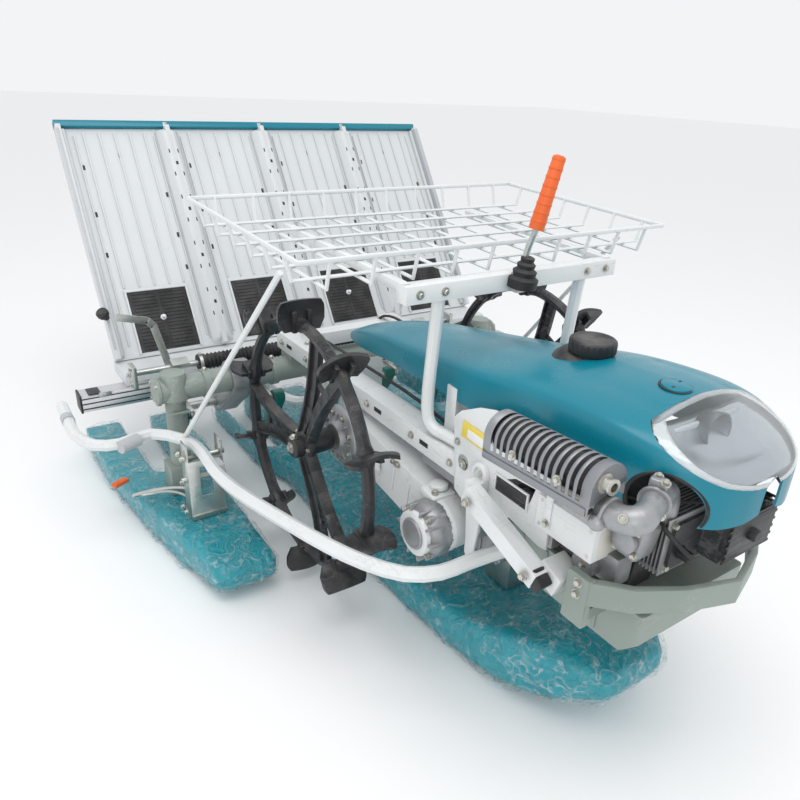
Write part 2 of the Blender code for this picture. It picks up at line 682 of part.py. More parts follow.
def muffler_shield():
    length = MUFFLER_REAR_Y - MUFFLER_FRONT_Y
    middle = (MUFFLER_FRONT_Y + MUFFLER_REAR_Y) / 2
    shape = arc((-MUFFLER_X, MUFFLER_Z), MUFFLER_RADIUS, 0, 180, 10)
    shape += [(-MUFFLER_X - MUFFLER_RADIUS, MUFFLER_LOW_Z), (-MUFFLER_X + MUFFLER_RADIUS, MUFFLER_LOW_Z)]
    body = outline("muffler_shield", shape, length, "xz", middle)
    centre = Matrix.Translation((0, middle, MUFFLER_Z))
    body.matrix_world = centre @ Matrix.Rotation(-MUFFLER_RISE, 4,
                                                 "X") @ centre.inverted() @ body.matrix_world
    bpy.context.view_layer.update()
    bracket = span("bracket", (-MUFFLER_X + 0.008, -0.620, 0.480 + SEAT_GAP),
                   (-SIDE_PLATE_X - SIDE_PLATE / 2 - SEAT_GAP, -0.570, MUFFLER_Z - 0.010))
    return join(body, bracket)


def exhaust_elbow():
    path = smooth_path([(-0.217, -0.670, 0.541), (-0.216, -0.702, 0.541), (-0.203, -0.722, 0.544),
                        (-0.178, -0.718, 0.547), (-0.148, -0.706, 0.550), (-0.118, -0.698, 0.546),
                        (-0.098, -0.692, 0.526), (-0.092, -0.690, 0.490)], 3)
    return tube("exhaust_elbow", path, EXHAUST_RADIUS, sides=10)


# ---------------------------------------------------------------- hood
def hood_shell(name):
    mesh = bpy.data.meshes.new(name)
    shape = bmesh.new()
    rows = []
    for y, half, low, ridge in HOOD_STATIONS:
        row = []
        for step in range(HOOD_ARCH_POINTS + 1):
            turn = math.pi * step / HOOD_ARCH_POINTS
            across, up = math.cos(turn), math.sin(turn)
            x = half * math.copysign(abs(across) ** 0.62, across)
            z = low + (ridge - low) * up ** 0.78
            row.append(shape.verts.new((x, y, z)))
        rows.append(row)
    for rear, front in zip(rows, rows[1:]):
        for a, b, c, d in zip(rear, rear[1:], front[1:], front):
            shape.faces.new((a, b, c, d))
    bmesh.ops.recalc_face_normals(shape, faces=shape.faces)
    if sum(face.normal.z for face in shape.faces) < 0:
        bmesh.ops.reverse_faces(shape, faces=shape.faces)
    shape.to_mesh(mesh)
    shape.free()
    shell = place(mesh, name)
    wall = shell.modifiers.new("wall", "SOLIDIFY")
    wall.thickness = HOOD_WALL
    wall.offset = -1
    return bake(shell)


def lens_edge_z(y):
    """Height of the lens's lower edge."""
    return LENS_REAR_Z + (y - LENS_REAR_Y) * math.tan(LENS_RISE)


def lens_cutter(name, gap):
    """The wedge that splits the lens from the hood."""
    rear, front, top = LENS_REAR_Y - gap, HOOD_STATIONS[-1][0] - 0.1, LENS_REAR_Z + 0.1
    side = [(rear, lens_edge_z(rear) + gap), (rear, top), (front, top), (front, lens_edge_z(front) + gap)]
    return outline(name, side, 4 * HOOD_STATIONS[6][1], "yz", 0.0)


def hood_group():
    shell = hood_shell("hood")
    lens = hood_shell("headlight_lens")
    lens = boolean(lens, lens_cutter("lens_box", SEAT_GAP), "INTERSECT")
    arch = rod("arch", (-BUMPER_HALF, EXHAUST_ARCH_Y, EXHAUST_ARCH_Z), (-0.050, EXHAUST_ARCH_Y,
                                                                        EXHAUST_ARCH_Z),
               EXHAUST_ARCH_RADIUS, 24)
    hood = cut(shell, lens_cutter("hood_box", 0.0), arch)
    bowl_y = LENS_REAR_Y - 0.050
    bowl_z = lens_edge_z(bowl_y) - 0.010
    bowl = outline("headlight_reflector", [(-0.094, 0.040), (-0.046, -0.044), (0.046, -0.044), (0.094,
                                                                                                0.040)],
                   0.020, "xy", 0.0)
    bowl.matrix_world = Matrix.Translation((0, bowl_y, bowl_z)) @ Matrix.Rotation(LENS_RISE, 4,
                                                                                  "X") @ bowl.matrix_world
    bpy.context.view_layer.update()
    stem = span("stem", (-0.020, bowl_y, ENGINE_TOP_Z + 0.010 + SEAT_GAP), (0.020, bowl_y + 0.030, bowl_z))
    reflector = join(bowl, stem)
    rim, neck = FUEL_CAP_RADIUS, FUEL_CAP_RADIUS - 0.006
    top = FUEL_CAP_TOP_Z
    cap = turned("fuel_cap", [(0.0, top), (neck - 0.004, top), (rim, top - 0.007), (rim, top - 0.026),
                              (neck, top - 0.030), (neck, top - 0.060), (0.0, top - 0.060)], (0, FUEL_CAP_Y,
                                                                                              0))
    cap = clear_of(cap, hood)
    finish(hood, TEAL, smooth=True)
    finish(lens, CLEAR, smooth=True)
    finish(reflector, ZINC)
    finish(cap, BLACK, smooth=True)
    return hood


# ---------------------------------------------------------------- rack for spare seedlings
def rack_floor_z(y):
    share = (y - RACK_FRONT_Y) / (RACK_REAR_Y - RACK_FRONT_Y)
    return RACK_FRONT_Z + (RACK_REAR_Z - RACK_FRONT_Z) * share


def rack():
    half, wire = RACK_WIDTH / 2, RACK_WIRE
    flare = 0.012
    rim = [(-half - flare, RACK_FRONT_Y - flare), (half + flare, RACK_FRONT_Y - flare),
           (half + flare, RACK_REAR_Y + flare), (-half - flare, RACK_REAR_Y + flare)]
    rim = [(x, y, rack_floor_z(y) + RACK_RIM) for x, y in rim]
    basket = tube("rack", rim, wire * 1.15, closed=True)
    for step in range(RACK_ACROSS):
        y = RACK_FRONT_Y + (RACK_REAR_Y - RACK_FRONT_Y) * (step + 0.5) / RACK_ACROSS
        z = rack_floor_z(y)
        path = [(-half - flare, y, z + RACK_RIM), (-half, y, z), (half, y, z), (half + flare, y,
                                                                                z + RACK_RIM)]
        basket = join(basket, tube("wire", path, wire, sides=6))
    for step in range(RACK_ALONG):
        x = -half + RACK_WIDTH * (step + 0.5) / RACK_ALONG
        drop = wire * 1.6
        path = [(x, RACK_FRONT_Y - flare, rack_floor_z(RACK_FRONT_Y) + RACK_RIM),
                (x, RACK_FRONT_Y, rack_floor_z(RACK_FRONT_Y) - drop),
                (x, RACK_REAR_Y, rack_floor_z(RACK_REAR_Y) - drop),
                (x, RACK_REAR_Y + flare, rack_floor_z(RACK_REAR_Y) + RACK_RIM)]
        basket = join(basket, tube("wire", path, wire, sides=6))
    return finish(basket, WHITE, smooth=True)


def rack_arm(x):
    """Square arm under the basket's cross wires, back from the crossbar."""
    size = 0.016
    ends = []
    for y in (CROSSBAR_Y, RACK_REAR_Y - 0.05):
        ends.append(Vector((x, y, rack_floor_z(y) - RACK_WIRE * 0.7 - size / 2)))
    run = ends[1] - ends[0]
    return block("arm", (ends[0] + ends[1]) / 2, (size, run.length, size), (math.atan2(run.z, run.y), 0, 0))


def rack_stand(basket, frame):
    bar = block("rack_stand", (0, CROSSBAR_Y, CROSSBAR_Z), (2 * CROSSBAR_HALF, CROSSBAR_SIZE, CROSSBAR_SIZE))
    foot_z = RAIL_TOP_Z + LEG_RADIUS + SEAT_GAP
    for sign in (-1, 1):
        path = smooth_path([(sign * LEG_X, CROSSBAR_Y, CROSSBAR_Z), (sign * LEG_X, -0.240, 0.600),
                            (sign * LEG_X, -0.235, 0.490), (sign * (LEG_X - 0.002), -0.252, foot_z + 0.006),
                            (sign * (LEG_X - 0.010), -0.285, foot_z), (sign * (LEG_X - 0.013), -0.330,
                                                                       foot_z)], 3)
        bar = join(bar, tube("leg", path, LEG_RADIUS))
        bar = join(bar, rack_arm(sign * 0.238))
    return finish(clear_of(bar, basket, frame), WHITE, smooth=True)


def lever_tube(name, radius):
    front = CROSSBAR_Y - CROSSBAR_SIZE / 2
    path = smooth_path([(-0.010, front - 0.010, CROSSBAR_Z - 0.005), (-0.009, front - 0.012,
                                                                      CROSSBAR_Z + 0.045),
                        (-0.004, front - 0.026, CROSSBAR_Z + 0.100), (0.012, front - 0.027,
                                                                      CROSSBAR_Z + 0.158)], 3)
    return tube(name, path, radius)


def control_lever(stand):
    """Bent rod with its clamp on the crossbar's front, and the sleeve pushed over its end."""
    front = CROSSBAR_Y - CROSSBAR_SIZE / 2
    clamp = block("clamp", (-0.010, front - 0.008, CROSSBAR_Z + 0.002), (0.034, 0.024, 0.036), bevel=0.004)
    lever = clear_of(join(lever_tube("control_lever", LEVER_RADIUS), clamp), stand)
    grip = rod("lever_grip", (-0.006, front - 0.0255, CROSSBAR_Z + 0.094), (0.024, front - 0.0285,
                                                                            CROSSBAR_Z + 0.210),
               0.0135, 16, 0.011)
    return lever, cut(grip, lever_tube("bore", LEVER_RADIUS + RUN_GAP))


# ---------------------------------------------------------------- guards and stays
def guard_points(sign):
    outer, low = GUARD_HALF, GUARD_Z
    right = [(0.118, -0.452, 0.300), (0.156, -0.437, 0.290), (0.210, -0.428, 0.284), (0.262, -0.424, 0.282),
             (0.315, -0.396, 0.281), (0.356, -0.335, 0.280), (0.387, -0.262, 0.280), (0.413, -0.170, 0.277),
             (0.440, -0.050, 0.270), (0.4535, 0.030, 0.266), (0.457, 0.110, low), (0.453, 0.190, low),
             (0.466, 0.268, low), (0.524, 0.334, low), (0.594, 0.318, low), (outer - 0.024, 0.340, low),
             (outer, 0.410, low), (outer - 0.002, 0.500, low - 0.002), (outer - 0.005, 0.596, low - 0.006)]
    return [(sign * x, y, z) for x, y, z in right]


def guard_tube(side, sign):
    return tube("guard_tube_" + side, smooth_path(guard_points(sign), 2), GUARD_RADIUS)


def guard_bracket(side, sign, guard, float_):
    """Slotted yoke on the side float: the guard tube lies between its ears on a pin."""
    x, y, half, wall = sign * 0.447, 0.197, 0.040, 0.003
    foot_z = FLOAT_DECK_Z - 0.005
    yoke = span("guard_bracket_" + side, (x - half, y - wall / 2, foot_z), (x + half, y + wall / 2,
                                                                            GUARD_Z - 0.020))
    slot = span("slot", (x - 0.014, y - 0.01, 0.150), (x + 0.014, y + 0.01, 0.225))
    yoke = cut(yoke, slot)
    base = span("base", (x - half, y - 0.008, foot_z), (x + half, y + 0.044, FLOAT_DECK_Z + 0.020))
    ears = [span("ear", (x + offset - wall / 2, y, foot_z), (x + offset + wall / 2, y + 0.040,
                                                             GUARD_Z + 0.018))
            for offset in (wall / 2 - half, half - wall / 2)]
    rest_z = GUARD_Z - GUARD_RADIUS - 0.006 - SEAT_GAP
    pins = [rod("pin", (x - half - 0.010, y + 0.020, z), (x + half + 0.010, y + 0.020, z), 0.006, 12)
            for z in (rest_z, 0.190)]
    yoke = join(yoke, base, *ears, *pins)
    return finish(clear_of(yoke, guard, float_), ZINC)


def rack_stay(side, sign, basket, guard):
    corner_y = RACK_FRONT_Y + 0.081
    path = [(sign * 0.4665, 0.271, GUARD_Z + 0.004),
            (sign * (RACK_WIDTH / 2 - 0.0015), corner_y, rack_floor_z(corner_y) + 0.0015)]
    stay = tube("rack_stay_" + side, path, STAY_RADIUS)
    return clear_of(stay, basket, guard)


# ---------------------------------------------------------------- planting gear
def planting_case(side, sign):
    x = sign * ROW_PITCH
    arm = outline("planting_case_" + side,
                  capsule((CROSS_TUBE_Y, CROSS_TUBE_Z), (CRANK_Y, CRANK_Z), 0.044, 0.028, 8), 0.050, "yz", x)
    tail = span("tail", (x - 0.015, CRANK_Y, SLIDE_RAIL_LOW_Z + 0.006),
                (x + 0.015, SLIDE_RAIL_FRONT_Y - SEAT_GAP, SLIDE_RAIL_LOW_Z + 0.036))
    bore = rod("bore", (x - 0.05, CRANK_Y, CRANK_Z), (x + 0.05, CRANK_Y, CRANK_Z),
               CRANK_SHAFT_RADIUS + RUN_GAP, 20)
    return finish(cut(join(arm, tail), beam_seat(x), bore), ALUMINIUM, smooth=True)


def crank_shaft(side, sign):
    """One shaft through the case, with a web and a pin at each end."""
    x = sign * ROW_PITCH
    reach = 0.108
    shaft = rod("crank_shaft_" + side, (x - reach, CRANK_Y, CRANK_Z), (x + reach, CRANK_Y, CRANK_Z),
                CRANK_SHAFT_RADIUS, 16)
    for end in (-1, 1):
        web = outline("web", capsule((CRANK_Y, CRANK_Z), (CRANK_Y - CRANK_RADIUS, CRANK_Z), 0.018, 0.014, 6),
                      CRANK_WEB, "yz", x + end * (reach - CRANK_WEB / 2))
        pin = rod("pin", (x + end * (reach - 0.002), CRANK_Y - CRANK_RADIUS, CRANK_Z),
                  (x + end * (reach + 0.034), CRANK_Y - CRANK_RADIUS, CRANK_Z), CRANK_PIN_RADIUS, 12)
        shaft = join(shaft, web, pin)
    set_origin(shaft, (x, CRANK_Y, CRANK_Z))
    return finish(shaft, DARK_STEEL, smooth=True)


def planting_arm(number):
    """Arm on its crank pin: a case, and two claws down to the soil."""
    row_x = (number - 2.5) * ROW_PITCH
    case_x = math.copysign(ROW_PITCH, row_x)
    outward = math.copysign(1, row_x - case_x)
    x = case_x + outward * 0.1275
    pin = (CRANK_Y - CRANK_RADIUS, CRANK_Z)
    tip = (CLAW_TIP_Y - CRANK_RADIUS, CLAW_TIP_Z)
    elbow = (pin[0] + 0.048, pin[1] - 0.080)
    arm = outline("planting_arm_%d" % number, capsule(pin, elbow, 0.019, 0.016, 6), 0.028, "yz", x)
    foot = outline("foot", [(elbow[0] - 0.016, elbow[1] - 0.006), (elbow[0] + 0.012, elbow[1] + 0.010),
                            (tip[0] + 0.006, tip[1] + 0.050), (tip[0] - 0.010,
                                                               tip[1] + 0.042)], 0.018, "yz", x)
    arm = join(arm, foot)
    for offset in (-0.0065, 0.0065):
        claw = outline("claw", [(tip[0] - 0.009, tip[1] + 0.052), (tip[0] + 0.004, tip[1] + 0.056),
                                (tip[0] + 0.003, tip[1]),
                                (tip[0] - 0.001, tip[1])], 0.004, "yz", x + offset)
        arm = join(arm, claw)
    bore = rod("bore", (x - 0.05, *pin), (x + 0.05, *pin), CRANK_PIN_RADIUS + RUN_GAP, 12)
    arm = cut(arm, bore)
    set_origin(arm, (x, *pin))
    return finish(arm, GREEN, smooth=True)


def slide_rail():
    rail = span("slide_rail", (-SLIDE_RAIL_HALF, SLIDE_RAIL_FRONT_Y, SLIDE_RAIL_LOW_Z),
                (SLIDE_RAIL_HALF, SLIDE_RAIL_FRONT_Y + SLIDE_RAIL_DEPTH,
                 SLIDE_RAIL_LOW_Z + SLIDE_RAIL_HEIGHT), bevel=0.003)
    return finish(rail, ALUMINIUM)


def feed_shaft():
    """Cross-feed shaft of the tray, with its ribbed boots and end brackets on the slide rail."""
    y, z = 0.565, 0.320
    shaft = rod("feed_shaft", (-0.505, y, z), (0.505, y, z), 0.008, 12)
    boots = [rod("boot", (sign * 0.060, y, z), (sign * 0.330, y, z), 0.022, 16) for sign in (-1, 1)]
    hub = rod("hub", (-0.070, y, z), (0.070, y, z), 0.027, 20)
    brackets = []
    for sign in (-1, 1):
        brackets.append(span("bracket", (sign * 0.500 - 0.012, y - 0.016, z - 0.018),
                             (sign * 0.500 + 0.012, SLIDE_RAIL_FRONT_Y + 0.005, z + 0.018)))
        brackets.append(span("bracket", (sign * 0.500 - 0.012, y + 0.010, SLIDE_RAIL_LOW_Z + 0.006),
                             (sign * 0.500 + 0.012, SLIDE_RAIL_FRONT_Y - SEAT_GAP, z)))
    return finish(join(shaft, *boots, hub, *brackets), BLACK, smooth=True)


# ---------------------------------------------------------------- seedling tray
def on_tray(u, v, out=0.0):
    """A place on the tray: u across from its middle, v up the slope, out from its face."""
    return Vector((TRAY_SHIFT + u,
                   TRAY_LOW_Y + v * math.cos(TRAY_SLOPE) - out * math.sin(TRAY_SLOPE),
                   TRAY_LOW_Z + v * math.sin(TRAY_SLOPE) + out * math.cos(TRAY_SLOPE)))


def tray_block(name, us, vs, outs):
    """A block in the tray's own directions, given by its ranges across, up the slope and out."""
    middle = on_tray(sum(us) / 2, sum(vs) / 2, sum(outs) / 2)
    size = (us[1] - us[0], vs[1] - vs[0], outs[1] - outs[0])
    return block(name, middle, size, (TRAY_SLOPE, 0, 0))


def belt_rows():
    return [(row - 1.5) * ROW_PITCH for row in range(4)]


def seedling_tray():
    half = TRAY_WIDTH / 2
    sheet = tray_block("seedling_tray", (-half, half), (0, TRAY_LENGTH), (-TRAY_SHEET, 0))
    walls = []
    for step in range(5):
        u = (step - 2) * ROW_PITCH
        u = max(-half + 0.007, min(half - 0.007, u))
        walls.append(tray_block("wall", (u - 0.007, u + 0.007), (0.0, TRAY_LENGTH), (-TRAY_SHEET / 2,
                                                                                     TRAY_WALL)))
    beams = [tray_block("beam", (-half + 0.02, half - 0.02), (v - 0.015, v + 0.015), (-0.034,
                                                                                      -TRAY_SHEET / 2))
             for v in (0.230, 0.560)]
    lip = span("lip", (TRAY_SHIFT - half, SLIDE_RAIL_FRONT_Y + 0.010,
                       SLIDE_RAIL_LOW_Z + SLIDE_RAIL_HEIGHT + SEAT_GAP),
               (TRAY_SHIFT + half, TRAY_LOW_Y + 0.020, TRAY_LOW_Z - 0.004))
    tray = join(sheet, *walls, *beams, lip)
    for u in belt_rows():
        window = tray_block("window", (u - BELT_WIDTH / 2, u + BELT_WIDTH / 2), (BELT_LOW, BELT_HIGH), (-0.1,
                                                                                                        0.1))
        tray = cut(tray, window)
    return finish(tray, WHITE)


def feed_belts():
    """Four rubber belts in the tray's windows, on the shaft that turns them."""
    reach = 1.5 * ROW_PITCH + BELT_WIDTH / 2
    belts = rod("feed_belts", on_tray(-reach, 0.100, -0.026), on_tray(reach, 0.100, -0.026), 0.012, 12)
    for u in belt_rows():
        belts = join(belts, tray_block("belt", (u - BELT_WIDTH / 2 + SEAT_GAP, u + BELT_WIDTH / 2 - SEAT_GAP),
                                       (BELT_LOW + SEAT_GAP, BELT_HIGH - SEAT_GAP), (-TRAY_SHEET - 0.004,
                                                                                     0.003)))
    return finish(belts, BLACK)


def tray_top_trim():
    half = TRAY_WIDTH / 2
    trim = tray_block("tray_top_trim", (-half, half), (TRAY_LENGTH + SEAT_GAP, TRAY_LENGTH + 0.020),
                      (-TRAY_SHEET, 0.012))
    return finish(trim, TEAL)


def tray_support():
    """Posts behind the tray, with the rail that its upper beam runs on."""
    rail = tray_block("tray_support", (-0.420 - TRAY_SHIFT, 0.420 - TRAY_SHIFT), (0.545, 0.575), (-0.0505,
                                                                                                  -0.0345))
    top = on_tray(-TRAY_SHIFT, 0.560, -0.044)
    for sign in (-1, 1):
        path = smooth_path([(sign * 0.118, SLIDE_RAIL_FRONT_Y + 0.030, 0.185), (sign * 0.118, 0.780, 0.185),
                            (sign * 0.125, 0.920, 0.330), (sign * 0.150, 1.030, 0.560), (sign * 0.160, top.y,
                                                                                         top.z)], 3)
        foot = span("foot", (sign * 0.118 - 0.012, SLIDE_RAIL_FRONT_Y + 0.008, 0.172),
                    (sign * 0.118 + 0.012, SLIDE_RAIL_FRONT_Y + 0.042, SLIDE_RAIL_LOW_Z - SEAT_GAP))
        rail = join(rail, tube("post", path, 0.010), foot)
    return rail


# ---------------------------------------------------------------- handlebars
def handle_points(sign):
    return [(sign * 0.075, CROSS_TUBE_Y - 0.020, 0.2660), (sign * 0.075, 0.470, 0.190), (sign * 0.075, 0.640,
                                                                                         0.150),
            (sign * 0.075, 0.820, 0.170), (sign * 0.085, 0.960, 0.330), (sign * 0.130, 1.080, 0.560),
            (sign * 0.215, 1.150, 0.740), (sign * GRIP_X, GRIP_END_Y - 0.155, GRIP_Z),
            (sign * GRIP_X, GRIP_END_Y - 0.125, GRIP_Z), (sign * GRIP_X, GRIP_END_Y - 0.060, GRIP_Z),
            (sign * GRIP_X, GRIP_END_Y - 0.004, GRIP_Z)]


def handlebars():
    bars = [tube("bar", smooth_path(handle_points(sign), 3), HANDLE_RADIUS) for sign in (-1, 1)]
    rungs = [tube("rung", [(-x, y, z), (x, y, z)], 0.010) for x, y, z in ((0.130, 1.080, 0.560), (0.080, 0.900,
                                                                                                  0.245), (0.165, 1.110, 0.642))]
    mount = span("mount", (-0.100, CROSS_TUBE_Y - 0.030, 0.245), (0.100, CROSS_TUBE_Y + 0.006, CROSS_TUBE_Z))
    leg = span("leg", (-0.030, CROSS_TUBE_Y - 0.028, FLOAT_DECK_Z - 0.005), (0.030, CROSS_TUBE_Y - 0.018,
                                                                             0.250))
    frame = join(bars[0], bars[1], *rungs, mount, leg)
    frame.name = "handlebar_frame"
    return frame


def console():
    return block("control_console", (0, 1.145, 0.690), (0.200, 0.120, 0.090), (math.radians(35), 0, 0),
                 bevel=0.012)


def grip(side, sign):
    sleeve = rod("handle_grip_" + side, (sign * GRIP_X, GRIP_END_Y - 0.120, GRIP_Z), (sign * GRIP_X,
                                                                                      GRIP_END_Y, GRIP_Z), GRIP_RADIUS, 16)
    bore = rod("bore", (sign * GRIP_X, GRIP_END_Y - 0.130, GRIP_Z), (sign * GRIP_X, GRIP_END_Y - 0.0035,
                                                                     GRIP_Z),
               HANDLE_RADIUS + 0.0008, 16)
    return finish(cut(sleeve, bore), BLACK, smooth=True)


# ---------------------------------------------------------------- build
centre = centre_float()
frame = main_frame()
transmission()
float_post(centre)
beam = cross_tube()
hood = hood_group()
frame = finish(clear_of(frame, hood), WHITE)
basket = rack()
stand = rack_stand(basket, frame)
lever, lever_sleeve = control_lever(stand)
finish(lever, ZINC, smooth=True)
finish(lever_sleeve, ORANGE, smooth=True)

motor = engine()
pan = finish(front_pan(), GREY_GREEN)
band = finish(clear_of(bumper(), pan), GREY_GREEN)
guards = {side: guard_tube(side, sign) for side, sign in SIDES.items()}
plate = finish(clear_of(engine_side_plate(), frame, guards["right"]), WHITE)
shield = finish(muffler_shield(), ALUMINIUM, smooth=True)
elbow = finish(clear_of(exhaust_elbow(), hood, motor, shield), ALUMINIUM, smooth=True)

for side, sign in SIDES.items():
    float_ = side_float(side, sign)
    guard = finish(clear_of(guards[side], pan), WHITE, smooth=True)
    guard_bracket(side, sign, guard, float_)
    finish(rack_stay(side, sign, basket, guard), WHITE, smooth=True)
    end_pillar(side, sign, float_)
    foot_arm(side, sign, SIDE_PLATE_X + SIDE_PLATE / 2 if sign < 0 else RAIL_X + RAIL_WIDTH / 2)
    ring = wheel_ring(side, sign)
    spider = wheel_spider(side, sign, ring)
    for piece in (ring, spider):
        set_origin(piece, (sign * WHEEL_X, 0, AXLE_Z))
    lift_arm(side, sign)
    planting_case(side, sign)
    crank_shaft(side, sign)

for number in range(1, 5):
    planting_arm(number)
slide_rail()
feed_shaft()
tray = seedling_tray()
feed_belts()
tray_top_trim()
bars = handlebars()
bars = finish(clear_of(bars, beam, centre), WHITE, smooth=True)
box = finish(clear_of(console(), bars), BLACK)
finish(clear_of(tray_support(), bars, box), ZINC, smooth=True)
for side, sign in SIDES.items():
    grip(side, sign)

# The machine's origin: the middle of its length, on the floor.
MACHINE = bpy.data.objects.new("machine_origin", None)
PARTS.objects.link(MACHINE)
front_y = HOOD_STATIONS[-1][0]
MACHINE.location = (0, -(front_y + GRIP_END_Y) / 2, 0)
for obj in list(PARTS.objects):
    if obj is not MACHINE:
        obj.parent = MACHINE
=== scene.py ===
# %% [markdown]
# # A walk-behind rice transplanter
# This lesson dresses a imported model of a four-row rice transplanter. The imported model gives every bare
# shape and joint; the cells below add the finishes, and the smaller shapes that a maker would notice.
# All lengths are metres. The machine faces -Y, +Z is up and +X is to the left of the person who walks
# behind it.

# %% Load the fixed frame
import math

import bpy
import bmesh
from mathutils import Matrix, Vector, noise


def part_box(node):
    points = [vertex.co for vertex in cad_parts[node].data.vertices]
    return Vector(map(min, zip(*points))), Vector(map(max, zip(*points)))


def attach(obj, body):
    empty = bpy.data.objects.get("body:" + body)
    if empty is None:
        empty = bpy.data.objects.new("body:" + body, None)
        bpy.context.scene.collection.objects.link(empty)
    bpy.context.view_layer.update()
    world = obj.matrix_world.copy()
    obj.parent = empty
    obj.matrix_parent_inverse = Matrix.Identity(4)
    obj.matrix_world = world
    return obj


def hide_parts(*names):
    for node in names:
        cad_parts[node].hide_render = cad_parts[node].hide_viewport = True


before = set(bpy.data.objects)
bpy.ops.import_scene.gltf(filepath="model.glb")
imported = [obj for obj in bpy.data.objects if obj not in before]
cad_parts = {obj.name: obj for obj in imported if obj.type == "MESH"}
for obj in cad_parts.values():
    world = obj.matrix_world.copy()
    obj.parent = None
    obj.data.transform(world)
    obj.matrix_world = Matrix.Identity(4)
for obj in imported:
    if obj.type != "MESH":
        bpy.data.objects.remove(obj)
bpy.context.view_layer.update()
SIDES = {"right": -1, "left": 1}

# %% [markdown]
# ## Where things are
# The wheel axle is the handiest place to measure a machine like this from, so a point below is written
# as (across, along from the axle, height). `at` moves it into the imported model's own place.

# %% Measure from the wheel axle
WHEEL_LOW, WHEEL_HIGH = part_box("wheel_ring_left")
AXLE = (WHEEL_LOW + WHEEL_HIGH) / 2
WHEEL_X = AXLE.x


def at(x, y, z):
    return Vector((x, y + AXLE.y, z))


print("axle height", round(AXLE.z, 3), "wheel track", round(2 * WHEEL_X, 3))

# %% [markdown]
# ## Camera
# The camera stands off the right front corner, a little above the rack, and looks down across the
# machine. Its turn is built from a heading, a downward pitch and a small roll, and not from a look-at
# target, because a look-at would lose the roll.

# %% Camera
CAMERA_PLACE = at(-0.8587, -1.1392, 1.0186)
CAMERA_HEADING = math.radians(35.12)      # to the right of straight back
CAMERA_PITCH = math.radians(-25.45)
CAMERA_ROLL = math.radians(2.949)
CAMERA_LENS = 31.154                      # millimetres on a 36 mm sensor


def camera_matrix(place, heading, pitch, roll):
    forward = Vector((math.sin(heading) * math.cos(pitch), math.cos(heading) * math.cos(pitch),
            math.sin(pitch)))
    right = Vector((math.cos(heading), -math.sin(heading), 0))
    up = right.cross(forward)
    across = math.cos(roll) * right + math.sin(roll) * up
    above = -math.sin(roll) * right + math.cos(roll) * up
    return Matrix.Translation(place) @ Matrix((across, above, -forward)).transposed().to_4x4()


camera_data = bpy.data.cameras.new("camera")
camera_data.sensor_width = 36
camera_data.lens = CAMERA_LENS
camera_data.shift_x = -0.00325
camera_data.shift_y = 0.01325
camera = bpy.data.objects.new("camera", camera_data)
bpy.context.scene.collection.objects.link(camera)
camera.matrix_world = camera_matrix(CAMERA_PLACE, CAMERA_HEADING, CAMERA_PITCH, CAMERA_ROLL)
bpy.context.scene.camera = camera
print("camera at", [round(value, 3) for value in CAMERA_PLACE])

# %% [markdown]
# ## Floor and light
# The machine stands on a plain white floor under an even, bright sky, as it would in a small studio. One
# large lamp overhead gives the hood its long soft highlight, and a weaker one at the front right lifts
# the dark engine.

# %% Floor and light
floor_mesh = bpy.data.meshes.new("studio_floor")
floor_shape = bmesh.new()
bmesh.ops.create_grid(floor_shape, x_segments=1, y_segments=1, size=30)
floor_shape.to_mesh(floor_mesh)
floor_shape.free()
floor = bpy.data.objects.new("studio_floor", floor_mesh)
floor.location.z = -0.0005
bpy.context.scene.collection.objects.link(floor)
floor_paint = bpy.data.materials.new("floor_paint")
floor_paint.use_nodes = True
floor_shader = floor_paint.node_tree.nodes["Principled BSDF"]
floor_shader.inputs["Base Color"].default_value = (0.93, 0.93, 0.93, 1)
floor_shader.inputs["Roughness"].default_value = 0.85
floor_mesh.materials.append(floor_paint)

world = bpy.data.worlds.new("studio_sky")
bpy.context.scene.world = world
world.use_nodes = True
sky = world.node_tree.nodes["Background"]
sky.inputs["Color"].default_value = (0.97, 0.985, 1.0, 1)
sky.inputs["Strength"].default_value = 0.92


def soft_lamp(name, place, target, size, power):
    lamp_data = bpy.data.lights.new(name, "AREA")
    lamp_data.shape = "RECTANGLE"
    lamp_data.size, lamp_data.size_y = size
    lamp_data.energy = power
    lamp = bpy.data.objects.new(name, lamp_data)
    lamp.location = place
    lamp.rotation_euler = (target - place).to_track_quat("-Z", "Y").to_euler()
    bpy.context.scene.collection.objects.link(lamp)
    return lamp


MIDDLE = at(0, 0.2, 0.45)
soft_lamp("overhead", at(-0.6, -0.6, 3.2), MIDDLE, (2.6, 1.6), 34)
soft_lamp("front_right", at(-2.6, -2.6, 1.6), MIDDLE, (1.6, 1.6), 14)
bpy.context.scene.view_settings.view_transform = "Standard"

# %% [markdown]
# ## Shared surface effects
# Every finish on the machine varies a little: paint is a shade darker in patches, dust settles on what
# faces up, cast metal is pebbled, and rubbed edges shine. Each effect is one node group, made once, and
# every material that uses it gives it its own numbers. A group only hands out masks, colours and
# heights. The shader stays in the material.

# %% A small helper to build node groups
def new_group(name, inputs, outputs):
    """A shader node group with its sockets; inputs map a name to its default value."""
    tree = bpy.data.node_groups.new(name, "ShaderNodeTree")
    for label, value in inputs.items():
        kind = "NodeSocketFloat" if isinstance(value, (int, float)) else "NodeSocketColor"
        socket = tree.interface.new_socket(label, in_out="INPUT", socket_type=kind)
        socket.default_value = value
    for label, kind in outputs.items():
        tree.interface.new_socket(label, in_out="OUTPUT", socket_type=kind)
    entry = tree.nodes.new("NodeGroupInput")
    leave = tree.nodes.new("NodeGroupOutput")
    return tree, entry, leave


def node(tree, kind, **settings):
    """A new node with the given properties."""
    made = tree.nodes.new(kind)
    for label, value in settings.items():
        setattr(made, label, value)
    return made


